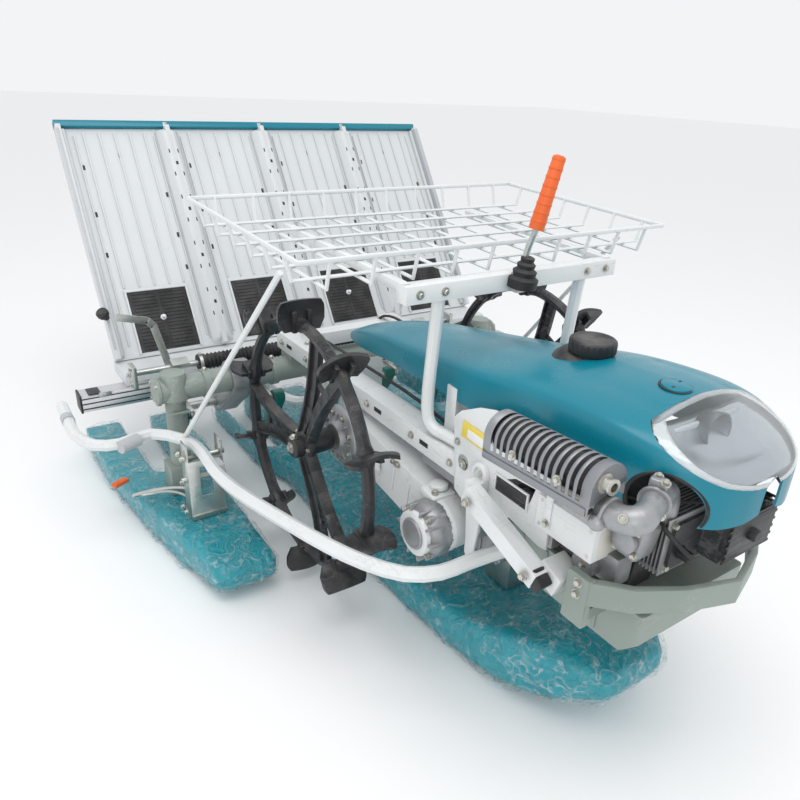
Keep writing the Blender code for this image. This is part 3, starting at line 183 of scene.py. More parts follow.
def feed(tree, source, target):
    tree.links.new(source, target)


def maths(tree, operation, first, second=None, clamp=False):
    """A Math node; each argument is a socket or a number."""
    made = node(tree, "ShaderNodeMath", operation=operation, use_clamp=clamp)
    for index, value in enumerate((first, second)):
        if value is None:
            continue
        if isinstance(value, (int, float)):
            made.inputs[index].default_value = value
        else:
            feed(tree, value, made.inputs[index])
    return made.outputs[0]


def noise_value(tree, scale, detail=3.0, stretch=None):
    """Noise in the object's own space; stretch gives other scales along x, y and z."""
    place = node(tree, "ShaderNodeTexCoord")
    mapping = node(tree, "ShaderNodeMapping")
    feed(tree, place.outputs["Object"], mapping.inputs["Vector"])
    if stretch:
        mapping.inputs["Scale"].default_value = stretch
    texture = node(tree, "ShaderNodeTexNoise")
    texture.inputs["Detail"].default_value = detail
    feed(tree, mapping.outputs[0], texture.inputs["Vector"])
    if isinstance(scale, (int, float)):
        texture.inputs["Scale"].default_value = scale
    else:
        feed(tree, scale, texture.inputs["Scale"])
    return texture.outputs["Fac"]


def mixed(tree, share, first, second):
    """A colour between two, each a socket or a colour."""
    made = node(tree, "ShaderNodeMix", data_type="RGBA")
    feed(tree, share, made.inputs["Factor"])
    for label, value in (("A", first), ("B", second)):
        socket = [s for s in made.inputs if s.name == label and s.type == "RGBA"][0]
        if isinstance(value, bpy.types.NodeSocket):
            feed(tree, value, socket)
        else:
            socket.default_value = (*value, 1) if len(value) == 3 else value
    return [s for s in made.outputs if s.type == "RGBA"][0]


# %% [markdown]
# Colour drift darkens and lightens a colour in soft patches. Real moulded or sprayed surfaces are never
# one flat colour, and the patches are a hand's width across.

# %% Effect: colour drift
def build_colour_drift():
    tree, entry, leave = new_group("colour drift", {"Colour": (0.5, 0.5, 0.5, 1), "Amount": 0.1,
            "Scale": 6.0},
                                   {"Colour": "NodeSocketColor"})
    patch = noise_value(tree, entry.outputs["Scale"], 4.0)
    centred = maths(tree, "SUBTRACT", patch, 0.5)
    swing = maths(tree, "MULTIPLY", centred, entry.outputs["Amount"])
    brightness = maths(tree, "ADD", maths(tree, "MULTIPLY", swing, 4.0), 1.0)
    hue = node(tree, "ShaderNodeHueSaturation")
    feed(tree, brightness, hue.inputs["Value"])
    feed(tree, entry.outputs["Colour"], hue.inputs["Color"])
    feed(tree, hue.outputs["Color"], leave.inputs["Colour"])
    return tree


COLOUR_DRIFT = build_colour_drift()

# %% [markdown]
# Dust gathers where a surface faces up, in uneven patches, and corners are darkened with painted shade.
# The first mask comes from the surface's normal and the second, the painted shade, from ambient occlusion.

# %% Effect: dust and painted corner shade
def build_dust():
    tree, entry, leave = new_group("settled dust", {"Amount": 0.3, "Scale": 25.0},
            {"Mask": "NodeSocketFloat"})
    geometry = node(tree, "ShaderNodeNewGeometry")
    split = node(tree, "ShaderNodeSeparateXYZ")
    feed(tree, geometry.outputs["Normal"], split.inputs[0])
    facing_up = maths(tree, "MULTIPLY", split.outputs["Z"], 0.8, clamp=True)
    patches = noise_value(tree, entry.outputs["Scale"], 6.0)
    broken = maths(tree, "MULTIPLY", maths(tree, "SUBTRACT", patches, 0.42), 3.2, clamp=True)
    mask = maths(tree, "MULTIPLY", maths(tree, "MULTIPLY", facing_up, broken), entry.outputs["Amount"],
            clamp=True)
    feed(tree, mask, leave.inputs["Mask"])
    return tree


def build_painted_corner_shade():
    tree, entry, leave = new_group("painted corner shade", {"Amount": 0.5, "Reach": 0.02},
            {"Mask": "NodeSocketFloat"})
    # Ambient occlusion finds the corners that get painted shade.
    corner = node(tree, "ShaderNodeAmbientOcclusion", samples=6, only_local=False)
    feed(tree, entry.outputs["Reach"], corner.inputs["Distance"])
    hidden = maths(tree, "SUBTRACT", 1.0, corner.outputs["AO"], clamp=True)
    uneven = maths(tree, "ADD", noise_value(tree, 45.0, 5.0), 0.25)
    mask = maths(tree, "MULTIPLY", maths(tree, "MULTIPLY", hidden, uneven), entry.outputs["Amount"],
            clamp=True)
    feed(tree, mask, leave.inputs["Mask"])
    return tree


SETTLED_DUST = build_dust()
PAINTED_CORNER_SHADE = build_painted_corner_shade()

# %% [markdown]
# Rubbed paint and scuffed plastic show as short scratches and small chips. Two stretched noises, cut to
# thin lines, give the scratches; a third, cut high, gives the chips.

# %% Effect: scuffs
def build_scuffs():
    tree, entry, leave = new_group("scuffs", {"Amount": 0.4, "Scale": 40.0}, {"Mask": "NodeSocketFloat"})
    lines = []
    for stretch in ((1.0, 0.12, 0.9), (0.15, 1.0, 1.1)):
        strand = noise_value(tree, entry.outputs["Scale"], 2.0, stretch)
        distance = maths(tree, "ABSOLUTE", maths(tree, "SUBTRACT", strand, 0.5))
        lines.append(maths(tree, "SUBTRACT", 1.0, maths(tree, "MULTIPLY", distance, 60.0), clamp=True))
    chips = maths(tree, "MULTIPLY", maths(tree, "SUBTRACT", noise_value(tree, 90.0, 4.0), 0.66), 12.0,
            clamp=True)
    patches = maths(tree, "MULTIPLY", maths(tree, "SUBTRACT", noise_value(tree, 8.0, 3.0), 0.48), 6.0,
            clamp=True)
    marks = maths(tree, "MAXIMUM", maths(tree, "MAXIMUM", lines[0], lines[1]), chips)
    mask = maths(tree, "MULTIPLY", maths(tree, "MULTIPLY", marks, patches), entry.outputs["Amount"],
            clamp=True)
    feed(tree, mask, leave.inputs["Mask"])
    return tree


SCUFFS = build_scuffs()

# %% [markdown]
# Three kinds of skin give a surface its fine relief. Orange peel is the shallow ripple of sprayed paint,
# casting skin is the coarse pebble of sand-cast metal, and brushed lines run along drawn or rolled metal.
# Each puts out a height, which a Bump node in the material turns into a normal.

# %% Effect: surface relief
def build_grain():
    tree, entry, leave = new_group("fine grain", {"Scale": 300.0, "Depth": 1.0},
            {"Height": "NodeSocketFloat"})
    fine = noise_value(tree, entry.outputs["Scale"], 4.0)
    coarse = noise_value(tree, maths(tree, "MULTIPLY", entry.outputs["Scale"], 0.22), 3.0)
    both = maths(tree, "ADD", fine, maths(tree, "MULTIPLY", coarse, 0.8))
    feed(tree, maths(tree, "MULTIPLY", both, entry.outputs["Depth"]), leave.inputs["Height"])
    return tree


def build_casting():
    tree, entry, leave = new_group("casting skin", {"Scale": 260.0, "Depth": 1.0},
                                   {"Height": "NodeSocketFloat", "Pits": "NodeSocketFloat"})
    place = node(tree, "ShaderNodeTexCoord")
    cells = node(tree, "ShaderNodeTexVoronoi", feature="SMOOTH_F1")
    feed(tree, place.outputs["Object"], cells.inputs["Vector"])
    feed(tree, entry.outputs["Scale"], cells.inputs["Scale"])
    rough = noise_value(tree, maths(tree, "MULTIPLY", entry.outputs["Scale"], 0.5), 5.0)
    height = maths(tree, "ADD", maths(tree, "MULTIPLY", cells.outputs["Distance"], 0.7), rough)
    feed(tree, maths(tree, "MULTIPLY", height, entry.outputs["Depth"]), leave.inputs["Height"])
    pits = maths(tree, "MULTIPLY", maths(tree, "SUBTRACT", rough, 0.5), 4.0, clamp=True)
    feed(tree, pits, leave.inputs["Pits"])
    return tree


def build_brushed():
    tree, entry, leave = new_group("brushed lines", {"Along X": 1.0, "Along Y": 0.04, "Along Z": 1.0,
            "Scale": 420.0},
                                   {"Height": "NodeSocketFloat"})
    place = node(tree, "ShaderNodeTexCoord")
    join_scale = node(tree, "ShaderNodeCombineXYZ")
    for axis in "XYZ":
        feed(tree, entry.outputs["Along " + axis], join_scale.inputs[axis])
    stretched = node(tree, "ShaderNodeVectorMath", operation="MULTIPLY")
    feed(tree, place.outputs["Object"], stretched.inputs[0])
    feed(tree, join_scale.outputs[0], stretched.inputs[1])
    strands = node(tree, "ShaderNodeTexNoise")
    strands.inputs["Detail"].default_value = 2.0
    feed(tree, stretched.outputs[0], strands.inputs["Vector"])
    feed(tree, entry.outputs["Scale"], strands.inputs["Scale"])
    feed(tree, strands.outputs["Fac"], leave.inputs["Height"])
    return tree


FINE_GRAIN = build_grain()
CASTING_SKIN = build_casting()
BRUSHED_LINES = build_brushed()

# %% [markdown]
# Creases in thin wrapping film are sharp, branching ridges. The distance between two cell patterns makes
# such ridges, and noise bends them so that no line is straight.

# %% Effect: film creases
def build_creases():
    tree, entry, leave = new_group("film creases", {"Scale": 14.0, "Bend": 0.5},
                                   {"Height": "NodeSocketFloat", "Ridge": "NodeSocketFloat"})
    place = node(tree, "ShaderNodeTexCoord")
    wander = node(tree, "ShaderNodeTexNoise")
    wander.inputs["Scale"].default_value = 7.0
    wander.inputs["Detail"].default_value = 4.0
    feed(tree, place.outputs["Object"], wander.inputs["Vector"])
    shifted = node(tree, "ShaderNodeMix", data_type="VECTOR")
    vectors = [s for s in shifted.inputs if s.type == "VECTOR"]
    feed(tree, entry.outputs["Bend"], shifted.inputs["Factor"])
    feed(tree, place.outputs["Object"], vectors[-2])
    feed(tree, wander.outputs["Color"], vectors[-1])
    ridges = []
    for ratio in (1.0, 2.7):
        cells = node(tree, "ShaderNodeTexVoronoi", feature="DISTANCE_TO_EDGE")
        feed(tree, [s for s in shifted.outputs if s.type == "VECTOR"][0], cells.inputs["Vector"])
        feed(tree, maths(tree, "MULTIPLY", entry.outputs["Scale"], ratio), cells.inputs["Scale"])
        near = maths(tree, "MULTIPLY", cells.outputs["Distance"], 9.0, clamp=True)
        ridges.append(maths(tree, "POWER", maths(tree, "SUBTRACT", 1.0, near), 2.0))
    ridge = maths(tree, "ADD", ridges[0], maths(tree, "MULTIPLY", ridges[1], 0.5), clamp=True)
    height = maths(tree, "ADD", ridge, maths(tree, "MULTIPLY", wander.outputs["Fac"], 1.2))
    feed(tree, height, leave.inputs["Height"])
    feed(tree, ridge, leave.inputs["Ridge"])
    return tree


FILM_CREASES = build_creases()
print("effects", [group.name for group in bpy.data.node_groups])

# %% [markdown]
# ## Finishes
# A finish starts from one Principled shader and lays the effects over its base colour in turn: the
# colour drifts, corners are darkened with painted shade, rubbing scuffs it, and dust comes last, which is
# the order in which the wear happens on the real machine. The constants are set on the shader itself.

# %% Build a finish
def placed_group(tree, group, **values):
    made = tree.nodes.new("ShaderNodeGroup")
    made.node_tree = group
    for label, value in values.items():
        made.inputs[label.replace("_", " ")].default_value = value
    return made


class Finish:
    """One material under construction: a shader, its colour chain, its roughness and its relief."""

    def __init__(self, name, colour, roughness, metallic=0.0, coat=0.0, drift=0.06, drift_scale=6.0):
        self.material = bpy.data.materials.new(name)
        self.material.use_nodes = True
        self.tree = self.material.node_tree
        self.shader = self.tree.nodes["Principled BSDF"]
        self.shader.inputs["Metallic"].default_value = metallic
        self.shader.inputs["Coat Weight"].default_value = coat
        self.shader.inputs["Coat Roughness"].default_value = 0.06
        start = placed_group(self.tree, COLOUR_DRIFT, Colour=(*colour, 1), Amount=drift, Scale=drift_scale)
        self.colour = start.outputs["Colour"]
        uneven = maths(self.tree, "SUBTRACT", noise_value(self.tree, 18.0, 5.0), 0.5)
        self.roughness = maths(self.tree, "ADD", maths(self.tree, "MULTIPLY", uneven, 0.22), roughness,
                clamp=True)
        self.height = None

    def over(self, mask, colour, roughness=None):
        """Lay another colour over what is there."""
        self.colour = mixed(self.tree, mask, self.colour, colour)
        if roughness is not None:
            rest = maths(self.tree, "MULTIPLY", self.roughness, maths(self.tree, "SUBTRACT", 1.0, mask))
            self.roughness = maths(self.tree, "ADD", rest, maths(self.tree, "MULTIPLY", mask, roughness),
                    clamp=True)
        return self

    # Darkens the corners that ambient occlusion finds: painted shade in the given colour.
    def corner_shade(self, colour, amount, reach=0.02):
        return self.over(placed_group(self.tree, PAINTED_CORNER_SHADE, Amount=amount, Reach=reach).outputs["Mask"],
                colour, 0.75)

    def scuffs(self, colour, amount, scale=40.0, roughness=0.5):
        mask = placed_group(self.tree, SCUFFS, Amount=amount, Scale=scale).outputs["Mask"]
        return self.over(mask, colour, roughness)

    def dust(self, amount, colour=(0.55, 0.52, 0.47), scale=25.0):
        return self.over(placed_group(self.tree, SETTLED_DUST, Amount=amount, Scale=scale).outputs["Mask"],
                colour, 0.9)

    def relief(self, height, depth):
        """Add a height, in metres at its full value."""
        scaled = maths(self.tree, "MULTIPLY", height, depth)
        self.height = scaled if self.height is None else maths(self.tree, "ADD", self.height, scaled)
        return self

    def grain(self, scale, depth):
        return self.relief(placed_group(self.tree, FINE_GRAIN, Scale=scale).outputs["Height"], depth)

    def cast(self, scale, depth, pit_colour=None):
        skin = placed_group(self.tree, CASTING_SKIN, Scale=scale)
        if pit_colour:
            self.over(maths(self.tree, "MULTIPLY", skin.outputs["Pits"], 0.5), pit_colour)
        return self.relief(skin.outputs["Height"], depth)

    def brushed(self, along, depth, scale=420.0):
        scales = {"Along_" + axis: (0.03 if axis == along else 1.0) for axis in "XYZ"}
        return self.relief(placed_group(self.tree, BRUSHED_LINES, Scale=scale, **scales).outputs["Height"],
                depth)

    def done(self):
        feed(self.tree, self.colour, self.shader.inputs["Base Color"])
        feed(self.tree, self.roughness, self.shader.inputs["Roughness"])
        if self.height is not None:
            bump = node(self.tree, "ShaderNodeBump")
            bump.inputs["Distance"].default_value = 1.0
            feed(self.tree, self.height, bump.inputs["Height"])
            feed(self.tree, bump.outputs[0], self.shader.inputs["Normal"])
        return self.material


# %% [markdown]
# The machine has about a dozen finishes. White powder coat is on the frame, rack and guards, grey-green
# paint on the pan and castings, teal moulded plastic on the hood and floats, and there are bare castings,
# zinc plate, pressed steel and rubber.

# %% The machine's finishes
# Brown of the painted shade in corners.
CORNER_SHADE_BROWN = (0.20, 0.18, 0.15)
WHITE_PAINT = (Finish("white_powder_coat", (0.73, 0.75, 0.75), 0.32, coat=0.1, drift=0.03)
               .corner_shade(CORNER_SHADE_BROWN, 0.5, 0.015).scuffs((0.45, 0.45, 0.44), 0.35).dust(0.18).grain(260.0,
                       0.00006).done())
GREY_GREEN = (Finish("grey_green_paint", (0.27, 0.32, 0.29), 0.45, drift=0.08)
              .cast(170.0, 0.00018).corner_shade(CORNER_SHADE_BROWN, 0.7).scuffs((0.42, 0.45, 0.42), 0.5).dust(0.3).done())
TEAL_PLASTIC = (Finish("teal_moulding", (0.0, 0.195, 0.270), 0.30, coat=0.0, drift=0.04)
                .scuffs((0.0, 0.23, 0.31), 0.06, 26.0, 0.35).grain(520.0, 0.00003).done())
BLACK_PLASTIC = (Finish("black_moulding", (0.018, 0.018, 0.019), 0.45, drift=0.1)
                 .dust(0.25).grain(700.0, 0.00012).done())
RUBBER_AND_GAP_SHADE = (Finish("black_rubber", (0.014, 0.014, 0.015), 0.6, drift=0.2)
          .scuffs((0.07, 0.07, 0.07), 0.5, 30.0, 0.8).dust(0.28, (0.30, 0.29, 0.27)).grain(380.0,
                  0.0002).done())
WHEEL_BLACK = (Finish("black_wheel_paint", (0.018, 0.018, 0.020), 0.38, coat=0.1, drift=0.15)
               .scuffs((0.16, 0.16, 0.16), 0.5, 34.0, 0.5).dust(0.3, (0.32, 0.30, 0.27)).grain(300.0,
                       0.00012).done())
CAST_METAL = (Finish("bare_casting", (0.36, 0.37, 0.38), 0.42, metallic=0.65, drift=0.1)
              .cast(240.0, 0.00022, (0.28, 0.28, 0.29)).corner_shade(CORNER_SHADE_BROWN, 0.9).dust(0.2).done())
ZINC = (Finish("zinc_plate", (0.56, 0.58, 0.55), 0.30, metallic=0.9, drift=0.16, drift_scale=30.0)
        .corner_shade(CORNER_SHADE_BROWN, 0.6).scuffs((0.75, 0.75, 0.74), 0.4).dust(0.15).grain(420.0, 0.00005).done())
STEEL_SHEET = (Finish("pressed_sheet", (0.30, 0.31, 0.33), 0.42, metallic=0.75, drift=0.08)
               .scuffs((0.75, 0.75, 0.76), 0.4).dust(0.2).grain(330.0, 0.00010).done())
EXTRUSION = (Finish("extruded_rail", (0.66, 0.67, 0.69), 0.30, metallic=0.9, drift=0.05)
             .brushed("X", 0.00006).corner_shade(CORNER_SHADE_BROWN, 0.5).dust(0.2).done())
BOLT_STEEL = (Finish("bolt_steel", (0.58, 0.57, 0.52), 0.28, metallic=0.95, drift=0.2, drift_scale=60.0)
              .corner_shade(CORNER_SHADE_BROWN, 0.8, 0.006).grain(600.0, 0.00004).done())
DARK_ENAMEL_AND_HOLE_SHADE = (Finish("engine_enamel_and_hole_shade", (0.022, 0.022, 0.024), 0.42, drift=0.2)
               .cast(210.0, 0.0002).scuffs((0.2, 0.2, 0.2), 0.35).dust(0.3, (0.30, 0.28, 0.25)).done())
CREAM_COVER = (Finish("cream_cover", (0.70, 0.69, 0.62), 0.4, drift=0.05)
               .corner_shade(CORNER_SHADE_BROWN, 0.6).dust(0.25).grain(400.0, 0.0001).done())
ORANGE_GRIP = (Finish("orange_grip", (0.78, 0.13, 0.02), 0.42, drift=0.06)
               .scuffs((0.35, 0.05, 0.01), 0.5).grain(520.0, 0.0001).done())
GREEN_PAINT = (Finish("green_arm_paint", (0.0, 0.17, 0.14), 0.38, coat=0.2, drift=0.12)
               .cast(190.0, 0.00012).corner_shade(CORNER_SHADE_BROWN, 0.7).scuffs((0.25, 0.35, 0.32), 0.5).dust(0.25).done())
# The tray's corners get a grey painted shade.
TRAY_WHITE = (Finish("tray_moulding", (0.64, 0.66, 0.67), 0.38, drift=0.025)
              .corner_shade((0.30, 0.31, 0.31), 0.35, 0.010).scuffs((0.55, 0.56, 0.56), 0.3).grain(480.0,
                      0.00005).done())
TRAY_GREY_AND_FOOT_SHADE = (Finish("grey_tray_strip_and_foot_shade", (0.47, 0.49, 0.51), 0.42, drift=0.05)
             .scuffs((0.30, 0.31, 0.32), 0.3).grain(480.0, 0.00006).done())
YELLOW_LABEL = Finish("blank_yellow_label", (0.80, 0.62, 0.08), 0.35, coat=0.3, drift=0.03).dust(0.1).done()
WHITE_LABEL = Finish("blank_white_label", (0.82, 0.83, 0.83), 0.30, coat=0.3, drift=0.02).dust(0.1).done()
print("finishes", len(bpy.data.materials))

# %% [markdown]
# Clear parts need their own shader values. The lens is solid clear plastic with light coming through. The
# wrapping film is so thin that most of what shows is its creases, so it is mostly transparent, with the
# ridges of the creases whiter and glossier than the rest; the whiter colour is partly the film's whitened
# folds and partly a painted highlight.

# %% Clear lens and wrapping film
def clear_lens():
    material = bpy.data.materials.new("clear_lens")
    material.use_nodes = True
    tree = material.node_tree
    shader = tree.nodes["Principled BSDF"]
    shader.inputs["Base Color"].default_value = (0.93, 0.96, 0.97, 1)
    shader.inputs["Metallic"].default_value = 0.0
    shader.inputs["IOR"].default_value = 1.2
    shader.inputs["Transmission Weight"].default_value = 0.97
    shader.inputs["Coat Weight"].default_value = 0.5
    haze = maths(tree, "ADD", maths(tree, "MULTIPLY", noise_value(tree, 30.0, 5.0), 0.05), 0.01)
    feed(tree, haze, shader.inputs["Roughness"])
    return material


def wrapping_film():
    material = bpy.data.materials.new("wrapping_film")
    material.use_nodes = True
    tree = material.node_tree
    shader = tree.nodes["Principled BSDF"]
    creases = placed_group(tree, FILM_CREASES, Scale=10.0, Bend=0.6)
    ridge = creases.outputs["Ridge"]
    # Whiter ridges: partly the film's whitened folds, partly a painted highlight.
    feed(tree, mixed(tree, ridge, (0.30, 0.72, 0.80), (0.80, 0.95, 0.98)), shader.inputs["Base Color"])
    shader.inputs["IOR"].default_value = 1.45
    shader.inputs["Coat Weight"].default_value = 0.8
    shader.inputs["Coat Roughness"].default_value = 0.08
    feed(tree, maths(tree, "ADD", maths(tree, "MULTIPLY", ridge, 0.12), 0.16), shader.inputs["Roughness"])
    cover = maths(tree, "ADD", maths(tree, "MULTIPLY", ridge, 0.30), 0.04, clamp=True)
    feed(tree, cover, shader.inputs["Alpha"])
    bump = node(tree, "ShaderNodeBump")
    bump.inputs["Distance"].default_value = 0.006
    feed(tree, creases.outputs["Height"], bump.inputs["Height"])
    feed(tree, bump.outputs[0], shader.inputs["Normal"])
    return material


def float_plastic():
    """Teal plastic seen through its film: the film's creases ripple it, and a lighter teal on their ridges is
    a painted highlight.
    """
    finish = Finish("float_plastic", (0.0, 0.27, 0.33), 0.26, coat=0.2, drift=0.10, drift_scale=9.0)
    creases = placed_group(finish.tree, FILM_CREASES, Scale=6.0, Bend=0.6)
    # Lighter, glossier teal on the crease ridges: a painted highlight.
    finish.over(maths(finish.tree, "MULTIPLY", creases.outputs["Ridge"], 0.14), (0.12, 0.60, 0.70), 0.12)
    finish.relief(creases.outputs["Height"], 0.0022)
    return finish.done()


CLEAR_LENS = clear_lens()
FILM = wrapping_film()
FLOAT_PLASTIC = float_plastic()
REFLECTOR = Finish("metallised_bowl", (0.55, 0.57, 0.60), 0.22, metallic=0.8, drift=0.03).grain(300.0,
        0.0001).done()
# %% [markdown]
# ## Shape helpers
# Small fittings such as bolts, washers, ribs and clips repeat hundreds of times on a machine. Each helper
# adds its shape to a bmesh that the caller owns, so that a whole row of bolts becomes one object.

# %% Add boxes, rods and bolts to a growing mesh
def frame_along(direction):
    """A rotation that turns +Z into the direction."""
    return Vector(direction).to_track_quat("Z", "Y").to_matrix().to_4x4()


def turned(angle, axis):
    return Matrix.Rotation(angle, 4, axis)


def add_box(shape, centre, size, turn=None, bevel=0.0):
    where = Matrix.Translation(centre) @ (turn or Matrix.Identity(4)) @ Matrix.Diagonal((*size, 1))
    made = bmesh.ops.create_cube(shape, size=1, matrix=where)
    if bevel:
        edges = dict.fromkeys(edge for vert in made["verts"] for edge in vert.link_edges)
        bmesh.ops.bevel(shape, geom=list(edges), offset=bevel, segments=2, profile=0.6, affect="EDGES")


def add_rod(shape, start, end, radius, end_radius=None, sides=20):
    start, end = Vector(start), Vector(end)
    run = end - start
    where = Matrix.Translation((start + end) / 2) @ frame_along(run)
    bmesh.ops.create_cone(shape, cap_ends=True, segments=sides, radius1=radius,
                          radius2=radius if end_radius is None else end_radius, depth=run.length,
                                  matrix=where)


def add_bolt(shape, place, direction, radius=0.005, washer=1.5):
    """Hexagon head with a chamfered top on a washer."""
    place, out = Vector(place), Vector(direction).normalized()
    add_rod(shape, place - out * 0.001, place + out * 0.0012, radius * washer, sides=18)
    head = place + out * 0.0012
    add_rod(shape, head, head + out * radius * 0.75, radius, sides=6)
    add_rod(shape, head + out * radius * 0.75, head + out * radius * 0.95, radius * 0.98, radius * 0.75,
            sides=6)


def add_lathe(shape, profile, place, direction, sides=32):
    """Turn a profile of (radius, distance along the axis) round an axis."""
    turn = Matrix.Translation(place) @ frame_along(direction)
    rings = []
    for radius, along in profile:
        ring = []
        for step in range(sides):
            angle = 2 * math.pi * step / sides
            point = Vector((radius * math.cos(angle), radius * math.sin(angle), along))
            ring.append(shape.verts.new(turn @ point))
        rings.append(ring)
    for low, high in zip(rings, rings[1:]):
        for step in range(sides):
            after = (step + 1) % sides
            shape.faces.new((low[step], low[after], high[after], high[step]))
    for ring, radius in ((rings[0], profile[0][0]), (rings[-1], profile[-1][0])):
        if radius > 1e-5:
            shape.faces.new(ring)


# %% [markdown]
# A shape becomes part of the machine once it has a finish, rides on the body that it is bolted to and,
# where it stands in for a plain imported shape, hides that shape. `fit_out` does all of that. Edges are
# rounded by a Bevel modifier, because no real edge is sharp enough to lose its highlight.

# %% Finish a new piece
def smooth(mesh, angle=35.0):
    for face in mesh.polygons:
        face.use_smooth = True
    mesh.set_sharp_from_angle(angle=math.radians(angle))


def fit_out(name, shape, material, body="chassis", replaces=(), bevel=0.0, angle=35.0):
    """Turn a bmesh into a finished object on its body."""
    mesh = bpy.data.meshes.new(name)
    bmesh.ops.recalc_face_normals(shape, faces=shape.faces)
    shape.to_mesh(mesh)
    shape.free()
    piece = bpy.data.objects.new(name, mesh)
    bpy.context.scene.collection.objects.link(piece)
    mesh.materials.append(material)
    smooth(mesh, angle)
    if bevel:
        round_edges(piece, bevel)
    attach(piece, body)
    if replaces:
        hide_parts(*replaces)
    return piece


def round_edges(piece, width, angle=32.0, segments=2):
    edge = piece.modifiers.new("rounded edges", "BEVEL")
    edge.width = width
    edge.segments = segments
    edge.limit_method = "ANGLE"
    edge.angle_limit = math.radians(angle)
    edge.harden_normals = False
    return edge


def pipe(name, points, radius, material, body="chassis", smoothness=6, sides=4, replaces=()):
    """A bent tube, wire or hose along a smooth curve."""
    curve = bpy.data.curves.new(name, "CURVE")
    curve.dimensions = "3D"
    curve.bevel_depth = radius
    curve.bevel_resolution = sides
    curve.use_fill_caps = True
    spline = curve.splines.new("BEZIER")
    spline.bezier_points.add(len(points) - 1)
    spline.resolution_u = smoothness
    for knot, point in zip(spline.bezier_points, points):
        knot.co = point
        knot.handle_left_type = knot.handle_right_type = "AUTO"
    curve.materials.append(material)
    piece = bpy.data.objects.new(name, curve)
    bpy.context.scene.collection.objects.link(piece)
    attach(piece, body)
    if replaces:
        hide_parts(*replaces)
    return piece


# %% [markdown]
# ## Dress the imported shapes
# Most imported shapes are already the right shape, and need only rounded edges and their finish. The import
# splits a mesh at its sharp edges, so a Weld modifier closes it again before the Bevel.

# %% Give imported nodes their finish
def dress(name, material, bevel=0.0015, angle=35.0, slot=None):
    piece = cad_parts[name]
    mesh = piece.data
    if "custom_normal" in mesh.attributes:
        mesh.attributes.remove(mesh.attributes["custom_normal"])
    mesh.materials.clear()
    mesh.materials.append(material)
    weld = piece.modifiers.new("weld", "WELD")
    weld.merge_threshold = 0.00005
    for face in mesh.polygons:
        face.use_smooth = True
    if bevel:
        round_edges(piece, bevel, angle)
    split = piece.modifiers.new("sharp edges", "EDGE_SPLIT")
    split.split_angle = math.radians(angle)
    split.use_edge_sharp = False
    return piece


PLAIN_DRESS = {
    "main_frame": (WHITE_PAINT, 0.004), "transmission": (CAST_METAL, 0.003), "cross_tube": (GREY_GREEN, 0.0),
    "rack": (WHITE_PAINT, 0.0), "rack_stand": (WHITE_PAINT, 0.002), "control_lever": (ZINC, 0.0),
    "lever_grip": (ORANGE_GRIP, 0.002), "engine_block": (DARK_ENAMEL_AND_HOLE_SHADE, 0.003),
            "front_pan": (GREY_GREEN, 0.006),
    "bumper": (GREY_GREEN, 0.002),
    "slide_rail": (EXTRUSION, 0.001), "seedling_tray": (TRAY_WHITE, 0.0012),
    "feed_belts": (RUBBER_AND_GAP_SHADE, 0.001), "tray_top_trim": (TEAL_PLASTIC, 0.002), "tray_support": (ZINC, 0.0015),
    "handlebar_frame": (WHITE_PAINT, 0.002), "control_console": (BLACK_PLASTIC, 0.003),
            "float_post": (ZINC, 0.002),
}
for name, (material, width) in PLAIN_DRESS.items():
    dress(name, material, width)
for side in SIDES:
    dress("end_pillar_" + side, GREY_GREEN, 0.003)
    dress("foot_arm_" + side, WHITE_PAINT, 0.002)
    dress("guard_tube_" + side, WHITE_PAINT, 0.0)
    dress("guard_bracket_" + side, ZINC, 0.0006)
    dress("rack_stay_" + side, WHITE_PAINT, 0.0)
    dress("swing_case_" + side, WHITE_PAINT, 0.004)
    dress("planting_case_" + side, CAST_METAL, 0.004)
    dress("crank_shaft_" + side, ZINC, 0.001)
    dress("handle_grip_" + side, RUBBER_AND_GAP_SHADE, 0.002)
for number in range(1, 5):
    dress("planting_arm_%d" % number, GREEN_PAINT, 0.0015)
dress("engine_side_plate", WHITE_PAINT, 0.001)
print("dressed", len(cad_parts), "packed shapes")

# %% [markdown]
# ## Hood
# The hood is one long moulding: a narrow tail, a shoulder line that runs forward on each side, and a blunt
# nose. Its packed shell has flat facets, so it is lofted again here. A few stations give its half width,
# lower edge and ridge, a smooth curve runs through them, and one section, with its shoulder, is scaled to
# each place.

# %% Loft the hood
HOOD_STATIONS = (            # along, half width, lower edge, ridge
    (0.281, 0.030, 0.434, 0.454), (0.190, 0.062, 0.448, 0.496), (0.060, 0.090, 0.472, 0.536),
    (-0.074, 0.110, 0.492, 0.558), (-0.279, 0.134, 0.508, 0.594), (-0.443, 0.148, 0.516, 0.632),
    (-0.570, 0.152, 0.519, 0.645), (-0.650, 0.146, 0.516, 0.642), (-0.715, 0.126, 0.512, 0.622),
    (-0.755, 0.092, 0.510, 0.603), (-0.772, 0.052, 0.513, 0.588), (-0.777, 0.020, 0.522, 0.575),
)
HOOD_SECTION = ((1.0, 0.0), (1.0, 0.25), (0.992, 0.50), (0.965, 0.69), (0.885, 0.795), (0.62, 0.890),
                (0.32, 0.968), (0.0, 1.0))
LENS_REAR_Y = -0.645
LENS_REAR_Z = 0.625
LENS_RISE = math.radians(25.0)


def smooth_between(table, place):
    """Catmull-Rom rows through a table, at a place counted in rows."""
    index = min(int(place), len(table) - 2)
    share = place - index
    rows = [table[max(0, min(len(table) - 1, index + offset))] for offset in (-1, 0, 1, 2)]
    result = []
    for before, low, high, after in zip(*rows):
        a, b = (high - before) / 2, (after - low) / 2
        result.append(low + a * share + (3 * (high - low) - 2 * a - b) * share ** 2
                      + (a + b - 2 * (high - low)) * share ** 3)
    return result


